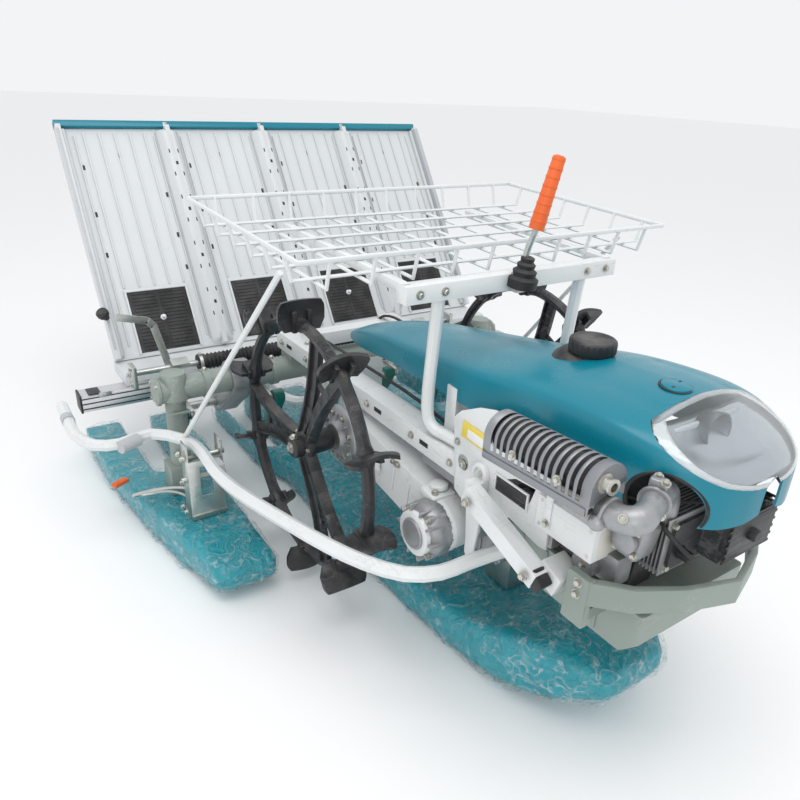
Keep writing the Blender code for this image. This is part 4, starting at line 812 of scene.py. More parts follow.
def hood_surface(rows=110, columns=28, panel_depth=0.0022):
    """The outer skin, from the tail to the nose."""
    shape = bmesh.new()
    grid = []
    for row in range(rows + 1):
        along, half, low, ridge = smooth_between(HOOD_STATIONS, (len(HOOD_STATIONS) - 1) * row / rows)
        line = []
        for column in range(-columns, columns + 1):
            across, up = smooth_between(HOOD_SECTION, (len(HOOD_SECTION) - 1) * (1 - abs(column) / columns))
            x = half * across * (1 if column > 0 else -1) if column else 0.0
            z = low + (ridge - low) * up
            panel = smooth_step(0.098, 0.082, abs(x)) * smooth_step(0.078, 0.066, abs(along + 0.576))
            line.append(shape.verts.new(at(x, along, z - panel * panel_depth)))
        grid.append(line)
    for rear, front in zip(grid, grid[1:]):
        for a, b, c, d in zip(rear, rear[1:], front[1:], front):
            shape.faces.new((a, b, c, d))
    return shape


def smooth_step(start, end, value):
    share = max(0.0, min(1.0, (value - start) / (end - start)))
    return share * share * (3 - 2 * share)


def lens_edge_z(along):
    return LENS_REAR_Z + (along - LENS_REAR_Y) * math.tan(LENS_RISE)


def keep_only(shape, test):
    bmesh.ops.delete(shape, geom=[face for face in shape.faces if not test(face.calc_center_median())],
                     context="FACES")


def split_hood(shape):
    """Cut the skin along the lens's rear line and its lower edge."""
    edge_normal = Vector((0, -math.sin(LENS_RISE), math.cos(LENS_RISE)))
    for place, normal in ((at(0, LENS_REAR_Y, LENS_REAR_Z), edge_normal),
            (at(0, LENS_REAR_Y, 0), Vector((0, 1, 0)))):
        bmesh.ops.bisect_plane(shape, geom=shape.verts[:] + shape.edges[:] + shape.faces[:], plane_co=place,
                               plane_no=normal, dist=0.00001)


def is_lens(centre):
    along = centre.y - AXLE.y
    return along < LENS_REAR_Y and centre.z > lens_edge_z(along)


def thicken(piece, thickness, offset=-1.0):
    wall = piece.modifiers.new("wall", "SOLIDIFY")
    wall.thickness = thickness
    wall.offset = offset
    wall.use_even_offset = True
    return piece


def bored(piece, cutter_shape, solver="EXACT"):
    """Cut a shape out of a piece, and keep the result as its mesh."""
    mesh = bpy.data.meshes.new("cutter")
    cutter_shape.to_mesh(mesh)
    cutter_shape.free()
    cutter = bpy.data.objects.new("cutter", mesh)
    bpy.context.scene.collection.objects.link(cutter)
    cut = piece.modifiers.new("cut", "BOOLEAN")
    cut.operation, cut.object, cut.solver = "DIFFERENCE", cutter, solver
    bpy.context.view_layer.update()
    result = bpy.data.meshes.new_from_object(piece.evaluated_get(bpy.context.evaluated_depsgraph_get()))
    piece.modifiers.clear()
    piece.data = result
    bpy.data.objects.remove(cutter, do_unlink=True)
    smooth(result)
    return piece


hood_skin = hood_surface()
split_hood(hood_skin)
keep_only(hood_skin, lambda centre: not is_lens(centre))
HOOD = thicken(fit_out("hood_moulding", hood_skin, TEAL_PLASTIC, replaces=("hood",)),
        0.0035)
arch_cutter = bmesh.new()
ARCH = at(-0.1, -0.703, 0.530)
add_rod(arch_cutter, ARCH - Vector((0.12, 0, 0)), ARCH + Vector((0.05, 0, 0)), 0.046, sides=48)
bored(HOOD, arch_cutter)
print("hood faces", len(HOOD.data.polygons))

# %% [markdown]
# The exhaust leaves through an arch in the hood's right side, and a black rubber strip is pushed over the
# arch's edge. The strip is a tube along the arch where it crosses the skin. In front of the fuel cap, a
# round plug closes the hole for the screw that holds the hood.

# %% Arch strip, screw plug and hood fittings
def skin_at(along, up):
    """Half width of the hood, and the height, at a share of the section's height."""
    place = 0.0
    for index, (low, high) in enumerate(zip(HOOD_STATIONS, HOOD_STATIONS[1:])):
        if high[0] <= along <= low[0]:
            place = index + (low[0] - along) / (low[0] - high[0])
    _, half, low, ridge = smooth_between(HOOD_STATIONS, place)
    height = min(1.0, max(0.0, (up - low) / (ridge - low)))
    for index, (first, second) in enumerate(zip(HOOD_SECTION, HOOD_SECTION[1:])):
        if first[1] <= height <= second[1]:
            share = (height - first[1]) / (second[1] - first[1])
            return half * (first[0] + (second[0] - first[0]) * share)
    return half


def ridge_at(along):
    for low, high in zip(HOOD_STATIONS, HOOD_STATIONS[1:]):
        if high[0] <= along <= low[0]:
            share = (low[0] - along) / (low[0] - high[0])
            return low[3] + (high[3] - low[3]) * share
    return HOOD_STATIONS[-1][3]


strip_path = []
for step in range(17):
    angle = math.radians(-22 + 224 * step / 16)
    along, up = -0.703 + 0.0465 * math.cos(angle), 0.530 + 0.0465 * math.sin(angle)
    strip_path.append(at(-skin_at(along, up) + 0.001, along, up))
pipe("hood_arch_strip", strip_path, 0.0032, RUBBER_AND_GAP_SHADE, smoothness=4)

plug = bmesh.new()
PLUG_ALONG = -0.612
plug_place = at(-0.012, PLUG_ALONG, ridge_at(PLUG_ALONG) - 0.0010)
plug_up = Vector((0, -0.06, 1)).normalized()
add_lathe(plug, [(0.0, 0.0035), (0.0195, 0.0035), (0.0215, 0.0022), (0.0220, -0.001)], plug_place, plug_up,
        40)
fit_out("hood_screw_plug", plug, TEAL_PLASTIC)
# Dark patches paint the shade in the plug's two slots.
plug_slots = bmesh.new()
for side in (-1, 1):
    add_box(plug_slots, plug_place + Vector((side * 0.013, 0.004 * side, 0.0036)), (0.0055, 0.0026, 0.0008))
fit_out("hood_plug_slot_shade", plug_slots, RUBBER_AND_GAP_SHADE)
# A dark ring paints the shade in the gap round the plug.
plug_groove = bmesh.new()
add_lathe(plug_groove, [(0.0222, 0.0004), (0.0246, 0.0006), (0.0250, -0.001), (0.0222, -0.001),
        (0.0222, 0.0004)],
          plug_place, plug_up, 40)
fit_out("hood_plug_groove_shade", plug_groove, RUBBER_AND_GAP_SHADE)

# %% [markdown]
# The fuel filler comes up through the hood: an oval black skirt seals the opening, and the cap above it
# has a grip of shallow flutes round its side and a slightly domed top.

# %% Fuel cap and its skirt
CAP_LOW, CAP_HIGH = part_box("fuel_cap")
CAP = Vector(((CAP_LOW.x + CAP_HIGH.x) / 2, (CAP_LOW.y + CAP_HIGH.y) / 2, CAP_HIGH.z))
CAP_RADIUS = (CAP_HIGH.x - CAP_LOW.x) / 2
cap = bmesh.new()
profile = [(0.0, -0.0010), (CAP_RADIUS * 0.66, -0.0012), (CAP_RADIUS * 0.70, 0.0), (CAP_RADIUS * 0.80, 0.0),
           (CAP_RADIUS * 0.86, -0.0022), (CAP_RADIUS * 0.88, -0.006), (CAP_RADIUS * 0.88, -0.020),
           (CAP_RADIUS * 0.84, -0.0225), (CAP_RADIUS * 0.74, -0.0235), (CAP_RADIUS * 0.74, -0.050)]
add_lathe(cap, profile, CAP, Vector((0, 0, 1)), 96)
for vert in cap.verts:
    local = vert.co - CAP
    radius = math.hypot(local.x, local.y)
    if radius > CAP_RADIUS * 0.85 and local.z < -0.004:
        flute = 0.5 + 0.5 * math.cos(24 * math.atan2(local.y, local.x))
        keep = 1 - 0.030 * flute
        vert.co.x, vert.co.y = CAP.x + local.x * keep, CAP.y + local.y * keep
fit_out("fuel_cap_moulding", cap, BLACK_PLASTIC, replaces=("fuel_cap",), angle=50)
skirt = bmesh.new()
skirt_profile = [(CAP_RADIUS * 0.80, 0.0), (CAP_RADIUS * 1.05, -0.003), (CAP_RADIUS * 1.28, -0.014),
                 (CAP_RADIUS * 1.36, -0.024), (CAP_RADIUS * 1.36, -0.040)]
add_lathe(skirt, skirt_profile, CAP - Vector((0, 0.003, 0.026)), Vector((0, -0.10, 1)), 64)
bmesh.ops.scale(skirt, vec=(1.0, 1.16, 1.0), space=Matrix.Translation(-CAP), verts=skirt.verts)
fit_out("fuel_cap_skirt", skirt, BLACK_PLASTIC, angle=60)

# %% [markdown]
# ## Headlight
# A clear moulding carries on the line of the nose. A white band runs round its lower edge, and inside are
# a white bowl and one round lamp. The lens and band are cut from the same loft as the hood, so their
# surfaces run on without a step.

# %% Lens, border and lamp
lens_skin = hood_surface(panel_depth=0.0)
split_hood(lens_skin)
keep_only(lens_skin, is_lens)
thicken(fit_out("headlight_cover", lens_skin, CLEAR_LENS, replaces=("headlight_lens",)),
               0.0022)


def is_border(centre):
    along = centre.y - AXLE.y
    return is_lens(centre) and centre.z < lens_edge_z(along) + 0.0075


def is_rear_border(centre):
    along = centre.y - AXLE.y
    return is_lens(centre) and along > LENS_REAR_Y - 0.0105


def border_strip(name, plane_place, plane_normal, test, material, inset=0.0028):
    strip = hood_surface(panel_depth=0.0)
    split_hood(strip)
    bmesh.ops.bisect_plane(strip, geom=strip.verts[:] + strip.edges[:] + strip.faces[:], plane_co=plane_place,
                           plane_no=plane_normal, dist=0.00001)
    keep_only(strip, test)
    for vert in strip.verts:
        vert.co.x *= 1 - inset / 0.12
        vert.co.z -= inset * 0.7
        vert.co.y += inset * 0.5
    return thicken(fit_out(name, strip, material), 0.0012)


LIFTED = Vector((0, 0, 0.0075))
border_strip("headlight_border", at(0, LENS_REAR_Y, LENS_REAR_Z) + LIFTED,
             Vector((0, -math.sin(LENS_RISE), math.cos(LENS_RISE))), is_border, WHITE_LABEL)
border_strip("headlight_rear_border", at(0, LENS_REAR_Y - 0.0105, 0), Vector((0, 1, 0)), is_rear_border,
        TRAY_GREY_AND_FOOT_SHADE)

bowl = bmesh.new()
BOWL_REAR, BOWL_FRONT = LENS_REAR_Y - 0.006, HOOD_STATIONS[-1][0] + 0.010
rows = []
for step in range(15):
    along = BOWL_REAR + (BOWL_FRONT - BOWL_REAR) * step / 14
    half = max(0.012, skin_at(along, lens_edge_z(along)) - 0.007)
    edge_z = lens_edge_z(along) - 0.001
    line = []
    for column in range(-8, 9):
        share = column / 8
        sag = 0.020 * (1 - share ** 2) * math.sin(math.pi * min(1, step / 12 + 0.08))
        line.append(bowl.verts.new(at(half * share, along, edge_z - sag)))
    rows.append(line)
for rear, front in zip(rows, rows[1:]):
    for a, b, c, d in zip(rear, rear[1:], front[1:], front):
        bowl.faces.new((a, b, c, d))
thicken(fit_out("headlight_bowl", bowl, REFLECTOR, replaces=("headlight_reflector",)),
        0.0015)
lamp = bmesh.new()
LAMP = at(0.0, -0.683, 0.598)
LAMP_AIM = Vector((0, -1, 0.10))
add_lathe(lamp, [(0.012, -0.030), (0.022, -0.026), (0.0275, -0.006), (0.0285, 0.002), (0.0255, 0.002),
                 (0.0225, -0.004), (0.010, -0.012), (0.0, -0.013)], LAMP, LAMP_AIM, 40)
fit_out("headlight_lamp", lamp, STEEL_SHEET, angle=50)
lamp_stem = bmesh.new()
add_box(lamp_stem, at(0, -0.672, 0.560), (0.050, 0.030, 0.052), bevel=0.004)
add_box(lamp_stem, at(0, -0.662, 0.590), (0.150, 0.006, 0.040), bevel=0.002)
fit_out("headlight_stem", lamp_stem, WHITE_LABEL)
print("headlight pieces made")

# %% [markdown]
# ## Muffler shield
# The muffler lies along the right side under a pressed steel shield: an arch with straight skirts, cut by
# a row of slots so that heat can leave, with two screws. The skin is a grid whose columns are, in turn,
# slots and bars. The faces of the slots are simply left out, and a Solidify modifier gives the sheet its
# thickness. A plain dark muffler shows through.

# %% Slotted heat shield
SHIELD_X = -0.217
SHIELD_RADIUS = 0.033
SHIELD_ARCH_Z = 0.569
SHIELD_REAR, SHIELD_FRONT = -0.480, -0.682
SHIELD_RISE = math.radians(3.0)
SLOTS = 14


def shield_section():
    """Points round the sheet, from the near skirt over the arch to the far skirt, each with its slot mark."""
    points = [(-SHIELD_RADIUS, -0.035, False), (-SHIELD_RADIUS, -0.024, False)]
    points += [(-SHIELD_RADIUS, height, True) for height in (-0.019, -0.010)]
    for step in range(17):
        angle = math.pi * (1 - step / 16)
        points.append((SHIELD_RADIUS * math.cos(angle), SHIELD_RADIUS * math.sin(angle), step < 12))
    points.append((SHIELD_RADIUS, -0.020, False))
    return points


def shield_place(along, across, up):
    middle = (SHIELD_REAR + SHIELD_FRONT) / 2
    lift = (middle - along) * math.tan(SHIELD_RISE)
    return at(SHIELD_X + across, along, SHIELD_ARCH_Z + up + lift)


def slotted_sheet():
    shape = bmesh.new()
    section = shield_section()
    margin = 0.013
    pitch = (SHIELD_REAR - SHIELD_FRONT - 2 * margin) / SLOTS
    cuts = [(SHIELD_REAR, False)]
    for slot in range(SLOTS):
        start = SHIELD_REAR - margin - pitch * slot
        cuts += [(start - pitch * 0.20, True), (start - pitch * 0.74, False)]
    cuts.append((SHIELD_FRONT, False))
    grid = []
    for along, _ in cuts:
        row = []
        for across, up, _ in section:
            row.append(shape.verts.new(shield_place(along, across, up)))
        grid.append(row)
    for index in range(len(cuts) - 1):
        for column in range(len(section) - 1):
            slotted = cuts[index][1] and section[column][2] and section[column + 1][2]
            if not slotted:
                shape.faces.new((grid[index][column], grid[index][column + 1],
                                 grid[index + 1][column + 1], grid[index + 1][column]))
    for row in (grid[0], grid[-1]):
        shape.faces.new(row[1:-1])
    return shape


shield = fit_out("muffler_heat_shield", slotted_sheet(), STEEL_SHEET,
                 replaces=("muffler_shield",), angle=50)
thicken(shield, 0.0016)
round_edges(shield, 0.0007, 40, 1)

muffler = bmesh.new()
core_rear, core_front = shield_place(SHIELD_REAR - 0.006, 0, -0.001), shield_place(SHIELD_FRONT + 0.006, 0,
        -0.001)
core_aim = core_front - core_rear
add_lathe(muffler, [(0.0, 0.0), (0.018, 0.0), (0.0265, 0.006), (0.0265, core_aim.length - 0.006),
                    (0.018, core_aim.length), (0.0, core_aim.length)], core_rear, core_aim, 32)
fit_out("muffler_body", muffler, DARK_ENAMEL_AND_HOLE_SHADE, angle=40)

skirts = bmesh.new()
for across, width in ((-SHIELD_RADIUS - 0.0010, 0.0022), (-SHIELD_RADIUS + 0.0110, 0.024)):
    centre = shield_place((SHIELD_REAR + SHIELD_FRONT) / 2, across, -0.0345 if width > 0.01 else -0.029)
    add_box(skirts, centre, (width, SHIELD_REAR - SHIELD_FRONT - 0.006, 0.0016 if width > 0.01 else 0.010),
            turned(-SHIELD_RISE, "X"), 0.0006)
fit_out("heat_shield_skirt", skirts, STEEL_SHEET)

shield_fittings = bmesh.new()
for along in (-0.543, -0.627):
    add_bolt(shield_fittings, shield_place(along, -SHIELD_RADIUS - 0.0004, -0.006), (-1, 0, 0), 0.0042, 1.7)
stub = shield_place(SHIELD_FRONT, -0.012, 0.010)
stub_aim = shield_place(SHIELD_FRONT - 0.1, -0.012, 0.010) - stub
add_lathe(shield_fittings, [(0.0135, -0.002), (0.0135, 0.003), (0.0095, 0.004), (0.0095, 0.012),
        (0.0110, 0.013),
                            (0.0110, 0.016), (0.0062, 0.016), (0.0062, 0.004), (0.0, 0.004)], stub, stub_aim,
                                    28)
fit_out("heat_shield_fittings", shield_fittings, BOLT_STEEL)

# %% [markdown]
# ## Exhaust elbow
# A cast elbow joins the muffler to the cylinder head. It is thickest at the bend, and each end has a
# flange with its screws.

# %% Exhaust elbow
ELBOW = [(-0.217, -0.676, 0.541), (-0.216, -0.704, 0.5405), (-0.204, -0.7225, 0.544),
        (-0.180, -0.7190, 0.547),
         (-0.150, -0.7070, 0.550), (-0.121, -0.6985, 0.546), (-0.100, -0.6925, 0.527),
                 (-0.094, -0.690, 0.495)]
elbow_tube = pipe("exhaust_elbow_casting", [at(*point) for point in ELBOW], 0.0168, CAST_METAL,
                  smoothness=8, sides=6, replaces=("exhaust_elbow",))
elbow_knots = elbow_tube.data.splines[0].bezier_points
for knot, swell in zip(elbow_knots, (0.98, 1.10, 1.16, 1.06, 1.0, 1.0, 0.98, 1.0)):
    knot.radius = swell

flanges = bmesh.new()
for start, aim, radius in (((-0.2165, -0.690, 0.541), (0, -1, 0), 0.0215),
        ((-0.158, -0.7103, 0.5495), (1, 0.38, 0.05), 0.0215)):
    add_lathe(flanges, [(0.0150, -0.0035), (radius, -0.0030), (radius + 0.001, 0.0), (radius, 0.0030),
            (0.0150, 0.0035)],
              at(*start), aim, 28)
add_box(flanges, at(-0.150, -0.7060, 0.571), (0.016, 0.024, 0.018), turned(math.radians(20), "Z"), 0.004)
add_lathe(flanges, [(0.0, 0.0105), (0.006, 0.010), (0.0105, 0.006), (0.012, 0.0), (0.0105, -0.006),
        (0.0, -0.010)],
          at(-0.2335, -0.686, 0.530), (-1, 0, 0), 20)
fit_out("exhaust_flanges", flanges, CAST_METAL, bevel=0.0008)
elbow_bolts = bmesh.new()
add_bolt(elbow_bolts, at(-0.229, -0.7185, 0.5525), (-0.75, -0.35, 0.55), 0.0042)
add_bolt(elbow_bolts, at(-0.154, -0.7175, 0.5790), (-0.2, -0.2, 1), 0.0045)
add_bolt(elbow_bolts, at(-0.146, -0.7010, 0.5790), (-0.2, -0.2, 1), 0.0040)
add_bolt(elbow_bolts, at(-0.166, -0.7290, 0.5400), (-0.5, -0.8, -0.1), 0.0040)
fit_out("exhaust_bolts", elbow_bolts, BOLT_STEEL)
print("exhaust made")

# %% [markdown]
# ## Engine and its side plate
# The engine is a small single with its cylinder laid forward. Under the hood are the finned cylinder, a
# ribbed black air cleaner on the left, a hand starter on the far side, and on the near side a pressed
# white plate that carries two labels, a bolt in a hole, a round boss and a window. Labels stay blank.

# %% Side plate fittings
PLATE_X = -0.1798
labels = bmesh.new()
add_box(labels, at(PLATE_X - 0.0006, -0.3800, 0.4990), (0.0010, 0.058, 0.030), turned(0.05, "X"), 0.0004)
fit_out("caution_label", labels, YELLOW_LABEL)
labels = bmesh.new()
add_box(labels, at(PLATE_X - 0.0012, -0.3860, 0.4955), (0.0006, 0.040, 0.016), turned(0.05, "X"), 0.0002)
fit_out("caution_label_field", labels, WHITE_LABEL)
# The hole and the window are flat dark patches: painted shade.
plate_dark = bmesh.new()
add_lathe(plate_dark, [(0.0, 0.0), (0.0095, 0.0), (0.0095, 0.0008), (0.0, 0.0008)],
        at(PLATE_X, -0.3610, 0.4350), (-1, 0, 0), 24)
add_box(plate_dark, at(PLATE_X, -0.4810, 0.4450), (0.0012, 0.070, 0.026), None, 0.0003)
fit_out("side_plate_opening_shade", plate_dark, DARK_ENAMEL_AND_HOLE_SHADE)
plate_trim = bmesh.new()
add_lathe(plate_trim, [(0.0, 0.004), (0.010, 0.004), (0.0125, 0.0085), (0.0165, 0.0085), (0.0185, 0.006),
        (0.0190, -0.001)],
          at(PLATE_X, -0.4100, 0.4430), (-1, 0, 0), 32)
for height in (0.4300, 0.4600):
    add_box(plate_trim, at(PLATE_X - 0.0008, -0.4810, height), (0.0034, 0.078, 0.0036), None, 0.0010)
for along in (-0.4440, -0.5180):
    add_box(plate_trim, at(PLATE_X - 0.0008, along, 0.4450), (0.0034, 0.0036, 0.032), None, 0.0010)
add_box(plate_trim, at(-0.1880, -0.5680, 0.4820), (0.0040, 0.013, 0.096), None, 0.0012)
fit_out("side_plate_rims", plate_trim, WHITE_PAINT)
plate_bolts = bmesh.new()
for along, height, radius in ((-0.3610, 0.4350, 0.0055), (-0.4100, 0.4430, 0.0048), (-0.3420, 0.4700, 0.0040),
                              (-0.5680, 0.4420, 0.0042), (-0.5680, 0.5200, 0.0042),
                                      (-0.4300, 0.5100, 0.0042)):
    add_bolt(plate_bolts, at(PLATE_X - (0.0105 if along < -0.56 else 0.0005), along, height), (-1, 0, 0),
            radius, 1.6)
fit_out("side_plate_bolts", plate_bolts, BOLT_STEEL)
print("side plate fitted")

# %% [markdown]
# Cooling fins are thin plates across the cylinder. They stand two millimetres proud of the head.

# %% Cylinder, casting and covers
fins = bmesh.new()
for step in range(9):
    add_box(fins, at(-0.0225, -0.6600 - 0.0060 * step, 0.4550), (0.1700, 0.0024, 0.0930), None, 0.0008)
add_box(fins, at(-0.1330, -0.6820, 0.4700), (0.0420, 0.0400, 0.0540), turned(math.radians(8), "X"), 0.006)
add_lathe(fins, [(0.0, 0.0), (0.0175, 0.0), (0.0185, 0.003), (0.0185, 0.010), (0.0120, 0.014), (0.0, 0.014)],
          at(-0.1540, -0.6820, 0.4720), (-1, 0, 0), 28)
add_box(fins, at(-0.1340, -0.6450, 0.4050), (0.0360, 0.0600, 0.0500), None, 0.006)
add_rod(fins, at(-0.1200, -0.6250, 0.3950), at(-0.1640, -0.6250, 0.3950), 0.0230, 0.0200, 28)
add_box(fins, at(-0.1290, -0.5000, 0.3900), (0.0240, 0.0900, 0.0620), None, 0.005)
for step in range(6):
    add_box(fins, at(-0.1430, -0.4650 - 0.0140 * step, 0.3900), (0.0060, 0.0030, 0.0540), None, 0.0008)
fit_out("engine_castings", fins, CAST_METAL)

cover = bmesh.new()
add_box(cover, at(-0.1520, -0.6000, 0.4530), (0.0620, 0.1120, 0.0590), None, 0.009)
add_box(cover, at(-0.1800, -0.6000, 0.4530), (0.0090, 0.0880, 0.0380), None, 0.004)
fit_out("valve_side_cover", cover, CREAM_COVER, angle=45)

black_parts = bmesh.new()
for step in range(6):
    add_box(black_parts, at(0.0340, -0.7505, 0.4260 + 0.0130 * step), (0.1180, 0.0030, 0.0045), None, 0.0012)
for step in range(8):
    add_box(black_parts, at(-0.0210 + 0.0155 * step, -0.7300, 0.4990), (0.0040, 0.0400, 0.0030), None, 0.0010)
add_lathe(black_parts, [(0.0, 0.012), (0.008, 0.012), (0.010, 0.009), (0.010, 0.0), (0.016, 0.0),
        (0.016, -0.004)],
          at(0.0340, -0.7510, 0.4580), (0, -1, 0), 24)
add_box(black_parts, at(-0.0800, -0.6600, 0.3800), (0.0500, 0.0200, 0.0500), None, 0.004)
add_lathe(black_parts, [(0.0, 0.026), (0.007, 0.026), (0.0085, 0.020), (0.0085, 0.006), (0.011, 0.002),
        (0.011, 0.0)],
          at(-0.0740, -0.7130, 0.4420), (-0.3, -1, 0.2), 20)
add_box(black_parts, at(-0.2160, -0.5940, 0.3680), (0.0240, 0.0300, 0.0240), turned(math.radians(38), "X"),
        0.004)
fit_out("engine_black_parts", black_parts, BLACK_PLASTIC)

pipe("spark_lead", [at(-0.0810, -0.7360, 0.4470), at(-0.1000, -0.7450, 0.4620), at(-0.1150, -0.7200, 0.4850),
                    at(-0.1000, -0.6700, 0.4980)], 0.0034, RUBBER_AND_GAP_SHADE)
pipe("fuel_hose", [at(-0.0900, -0.4700, 0.5100), at(-0.1300, -0.5000, 0.4900), at(-0.1360, -0.5300, 0.4500),
                   at(-0.1280, -0.5650, 0.4150), at(-0.1220, -0.6050, 0.4100)], 0.0042, RUBBER_AND_GAP_SHADE)
pipe("breather_hose", [at(-0.1300, -0.5200, 0.4700), at(-0.1480, -0.5000, 0.4600),
        at(-0.1500, -0.4600, 0.4300),
                       at(-0.1300, -0.4350, 0.4000)], 0.0050, RUBBER_AND_GAP_SHADE)
pipe("throttle_cable", [at(0.0200, -0.7200, 0.5010), at(-0.0500, -0.7000, 0.5080),
        at(-0.1080, -0.6500, 0.5050),
                        at(-0.1220, -0.5500, 0.5000), at(-0.1180, -0.4400, 0.4850)], 0.0028, RUBBER_AND_GAP_SHADE)

engine_bolts = bmesh.new()
for x, along, height in ((-0.0950, -0.7095, 0.4200), (0.0500, -0.7095, 0.4200), (-0.0950, -0.7095, 0.4900)):
    add_bolt(engine_bolts, at(x, along, height), (0, -1, 0), 0.0050)
for along, height in ((-0.6660, 0.4520), (-0.6980, 0.4900), (-0.6960, 0.4540), (-0.6660, 0.4880),
        (-0.6250, 0.3950)):
    add_bolt(engine_bolts, at(-0.1545 if height > 0.4 else -0.1645, along, height), (-1, 0, 0), 0.0038, 1.4)
for along in (-0.5530, -0.6470):
    for height in (0.4330, 0.4730):
        add_bolt(engine_bolts, at(-0.1832, along, height), (-1, 0, 0), 0.0038, 1.4)
fit_out("engine_bolts", engine_bolts, BOLT_STEEL)

starter = bmesh.new()
STARTER = at(0.1545, -0.5300, 0.4270)
add_lathe(starter, [(0.0, 0.006), (0.016, 0.006), (0.020, 0.003), (0.034, 0.003), (0.040, 0.0),
        (0.066, -0.002), (0.0735, -0.008),
                    (0.0745, -0.020)], STARTER - Vector((0.0065, 0, 0)), (1, 0, 0), 56)
for number in range(20):
    angle = 2 * math.pi * number / 20
    add_box(starter, STARTER + Vector((-0.0065, 0.053 * math.cos(angle), 0.053 * math.sin(angle))),
            (0.0040, 0.020, 0.0042),
            turned(angle, "X"), 0.0010)
fit_out("starter_cover", starter, BLACK_PLASTIC)
print("engine fitted")

# %% [markdown]
# ## Bumper and pan
# The bumper is a flat band bent round the nose, with flanged ends that bolt to the frame. Ribs strengthen
# the pan below it.

# %% Bumper and pan fittings
pan_ribs = bmesh.new()
for step in range(5):
    add_box(pan_ribs, at(-0.080 + 0.040 * step, -0.5600, 0.2605), (0.0050, 0.2000, 0.0040), None, 0.0010)
for side in (-1, 1):
    for step in range(4):
        add_box(pan_ribs, at(side * 0.1255, -0.4700 - 0.0560 * step, 0.3050), (0.0040, 0.0050, 0.0700), None,
                0.0010)
fit_out("pan_ribs", pan_ribs, GREY_GREEN)
front_bolts = bmesh.new()
for side in (-1, 1):
    for along, height in ((-0.6480, 0.3720), (-0.6480, 0.3920)):
        add_bolt(front_bolts, at(side * 0.1955, along, height), (side, 0, 0), 0.0052)
fit_out("front_bolts", front_bolts, BOLT_STEEL)
print("front fitted")

# %% [markdown]
# ## Cage wheels
# Each wheel is welded from a ring, ten scoops that grip the mud and three forked spokes. The scoops are
# pressed plates, curved like a shallow gutter with cut corners, and each stands on two small gussets on
# the ring. They are made once as a function of the side, then placed round the axle by angle.

# %% Wheels
WHEEL_CENTRE_X = 0.300
RING_RADIUS = 0.256
SCOOPS = 10
SCOOP_START = math.radians(20)
SCOOP_WIDTH = 0.098
SCOOP_INNER, SCOOP_OUTER = 0.246, 0.3035
SPOKE_ANGLES = (-56, 64, 184)
HUB = Vector((0, AXLE.y, AXLE.z))


def round_axle(x, radius, angle):
    """A point near the wheel, from its place along the axle, radius and angle up from straight ahead."""
    return HUB + Vector((x, -radius * math.cos(angle), radius * math.sin(angle)))


def add_curved_plate(shape, places, thickness_aim, thickness):
    """A plate from rows of points, given a second side so that it is closed."""
    near = [[shape.verts.new(point) for point in row] for row in places]
    far = [[shape.verts.new(point + aim * thickness) for point, aim in zip(row, aims)]
           for row, aims in zip(places, thickness_aim)]
    rows, columns = len(near), len(near[0])
    for r in range(rows - 1):
        for c in range(columns - 1):
            shape.faces.new((near[r][c], near[r][c + 1], near[r + 1][c + 1], near[r + 1][c]))
            shape.faces.new((far[r][c], far[r + 1][c], far[r + 1][c + 1], far[r][c + 1]))
    for c in range(columns - 1):
        shape.faces.new((near[0][c], far[0][c], far[0][c + 1], near[0][c + 1]))
        shape.faces.new((near[-1][c], near[-1][c + 1], far[-1][c + 1], far[-1][c]))
    for r in range(rows - 1):
        shape.faces.new((near[r][0], near[r + 1][0], far[r + 1][0], far[r][0]))
        shape.faces.new((near[r][-1], far[r][-1], far[r + 1][-1], near[r + 1][-1]))


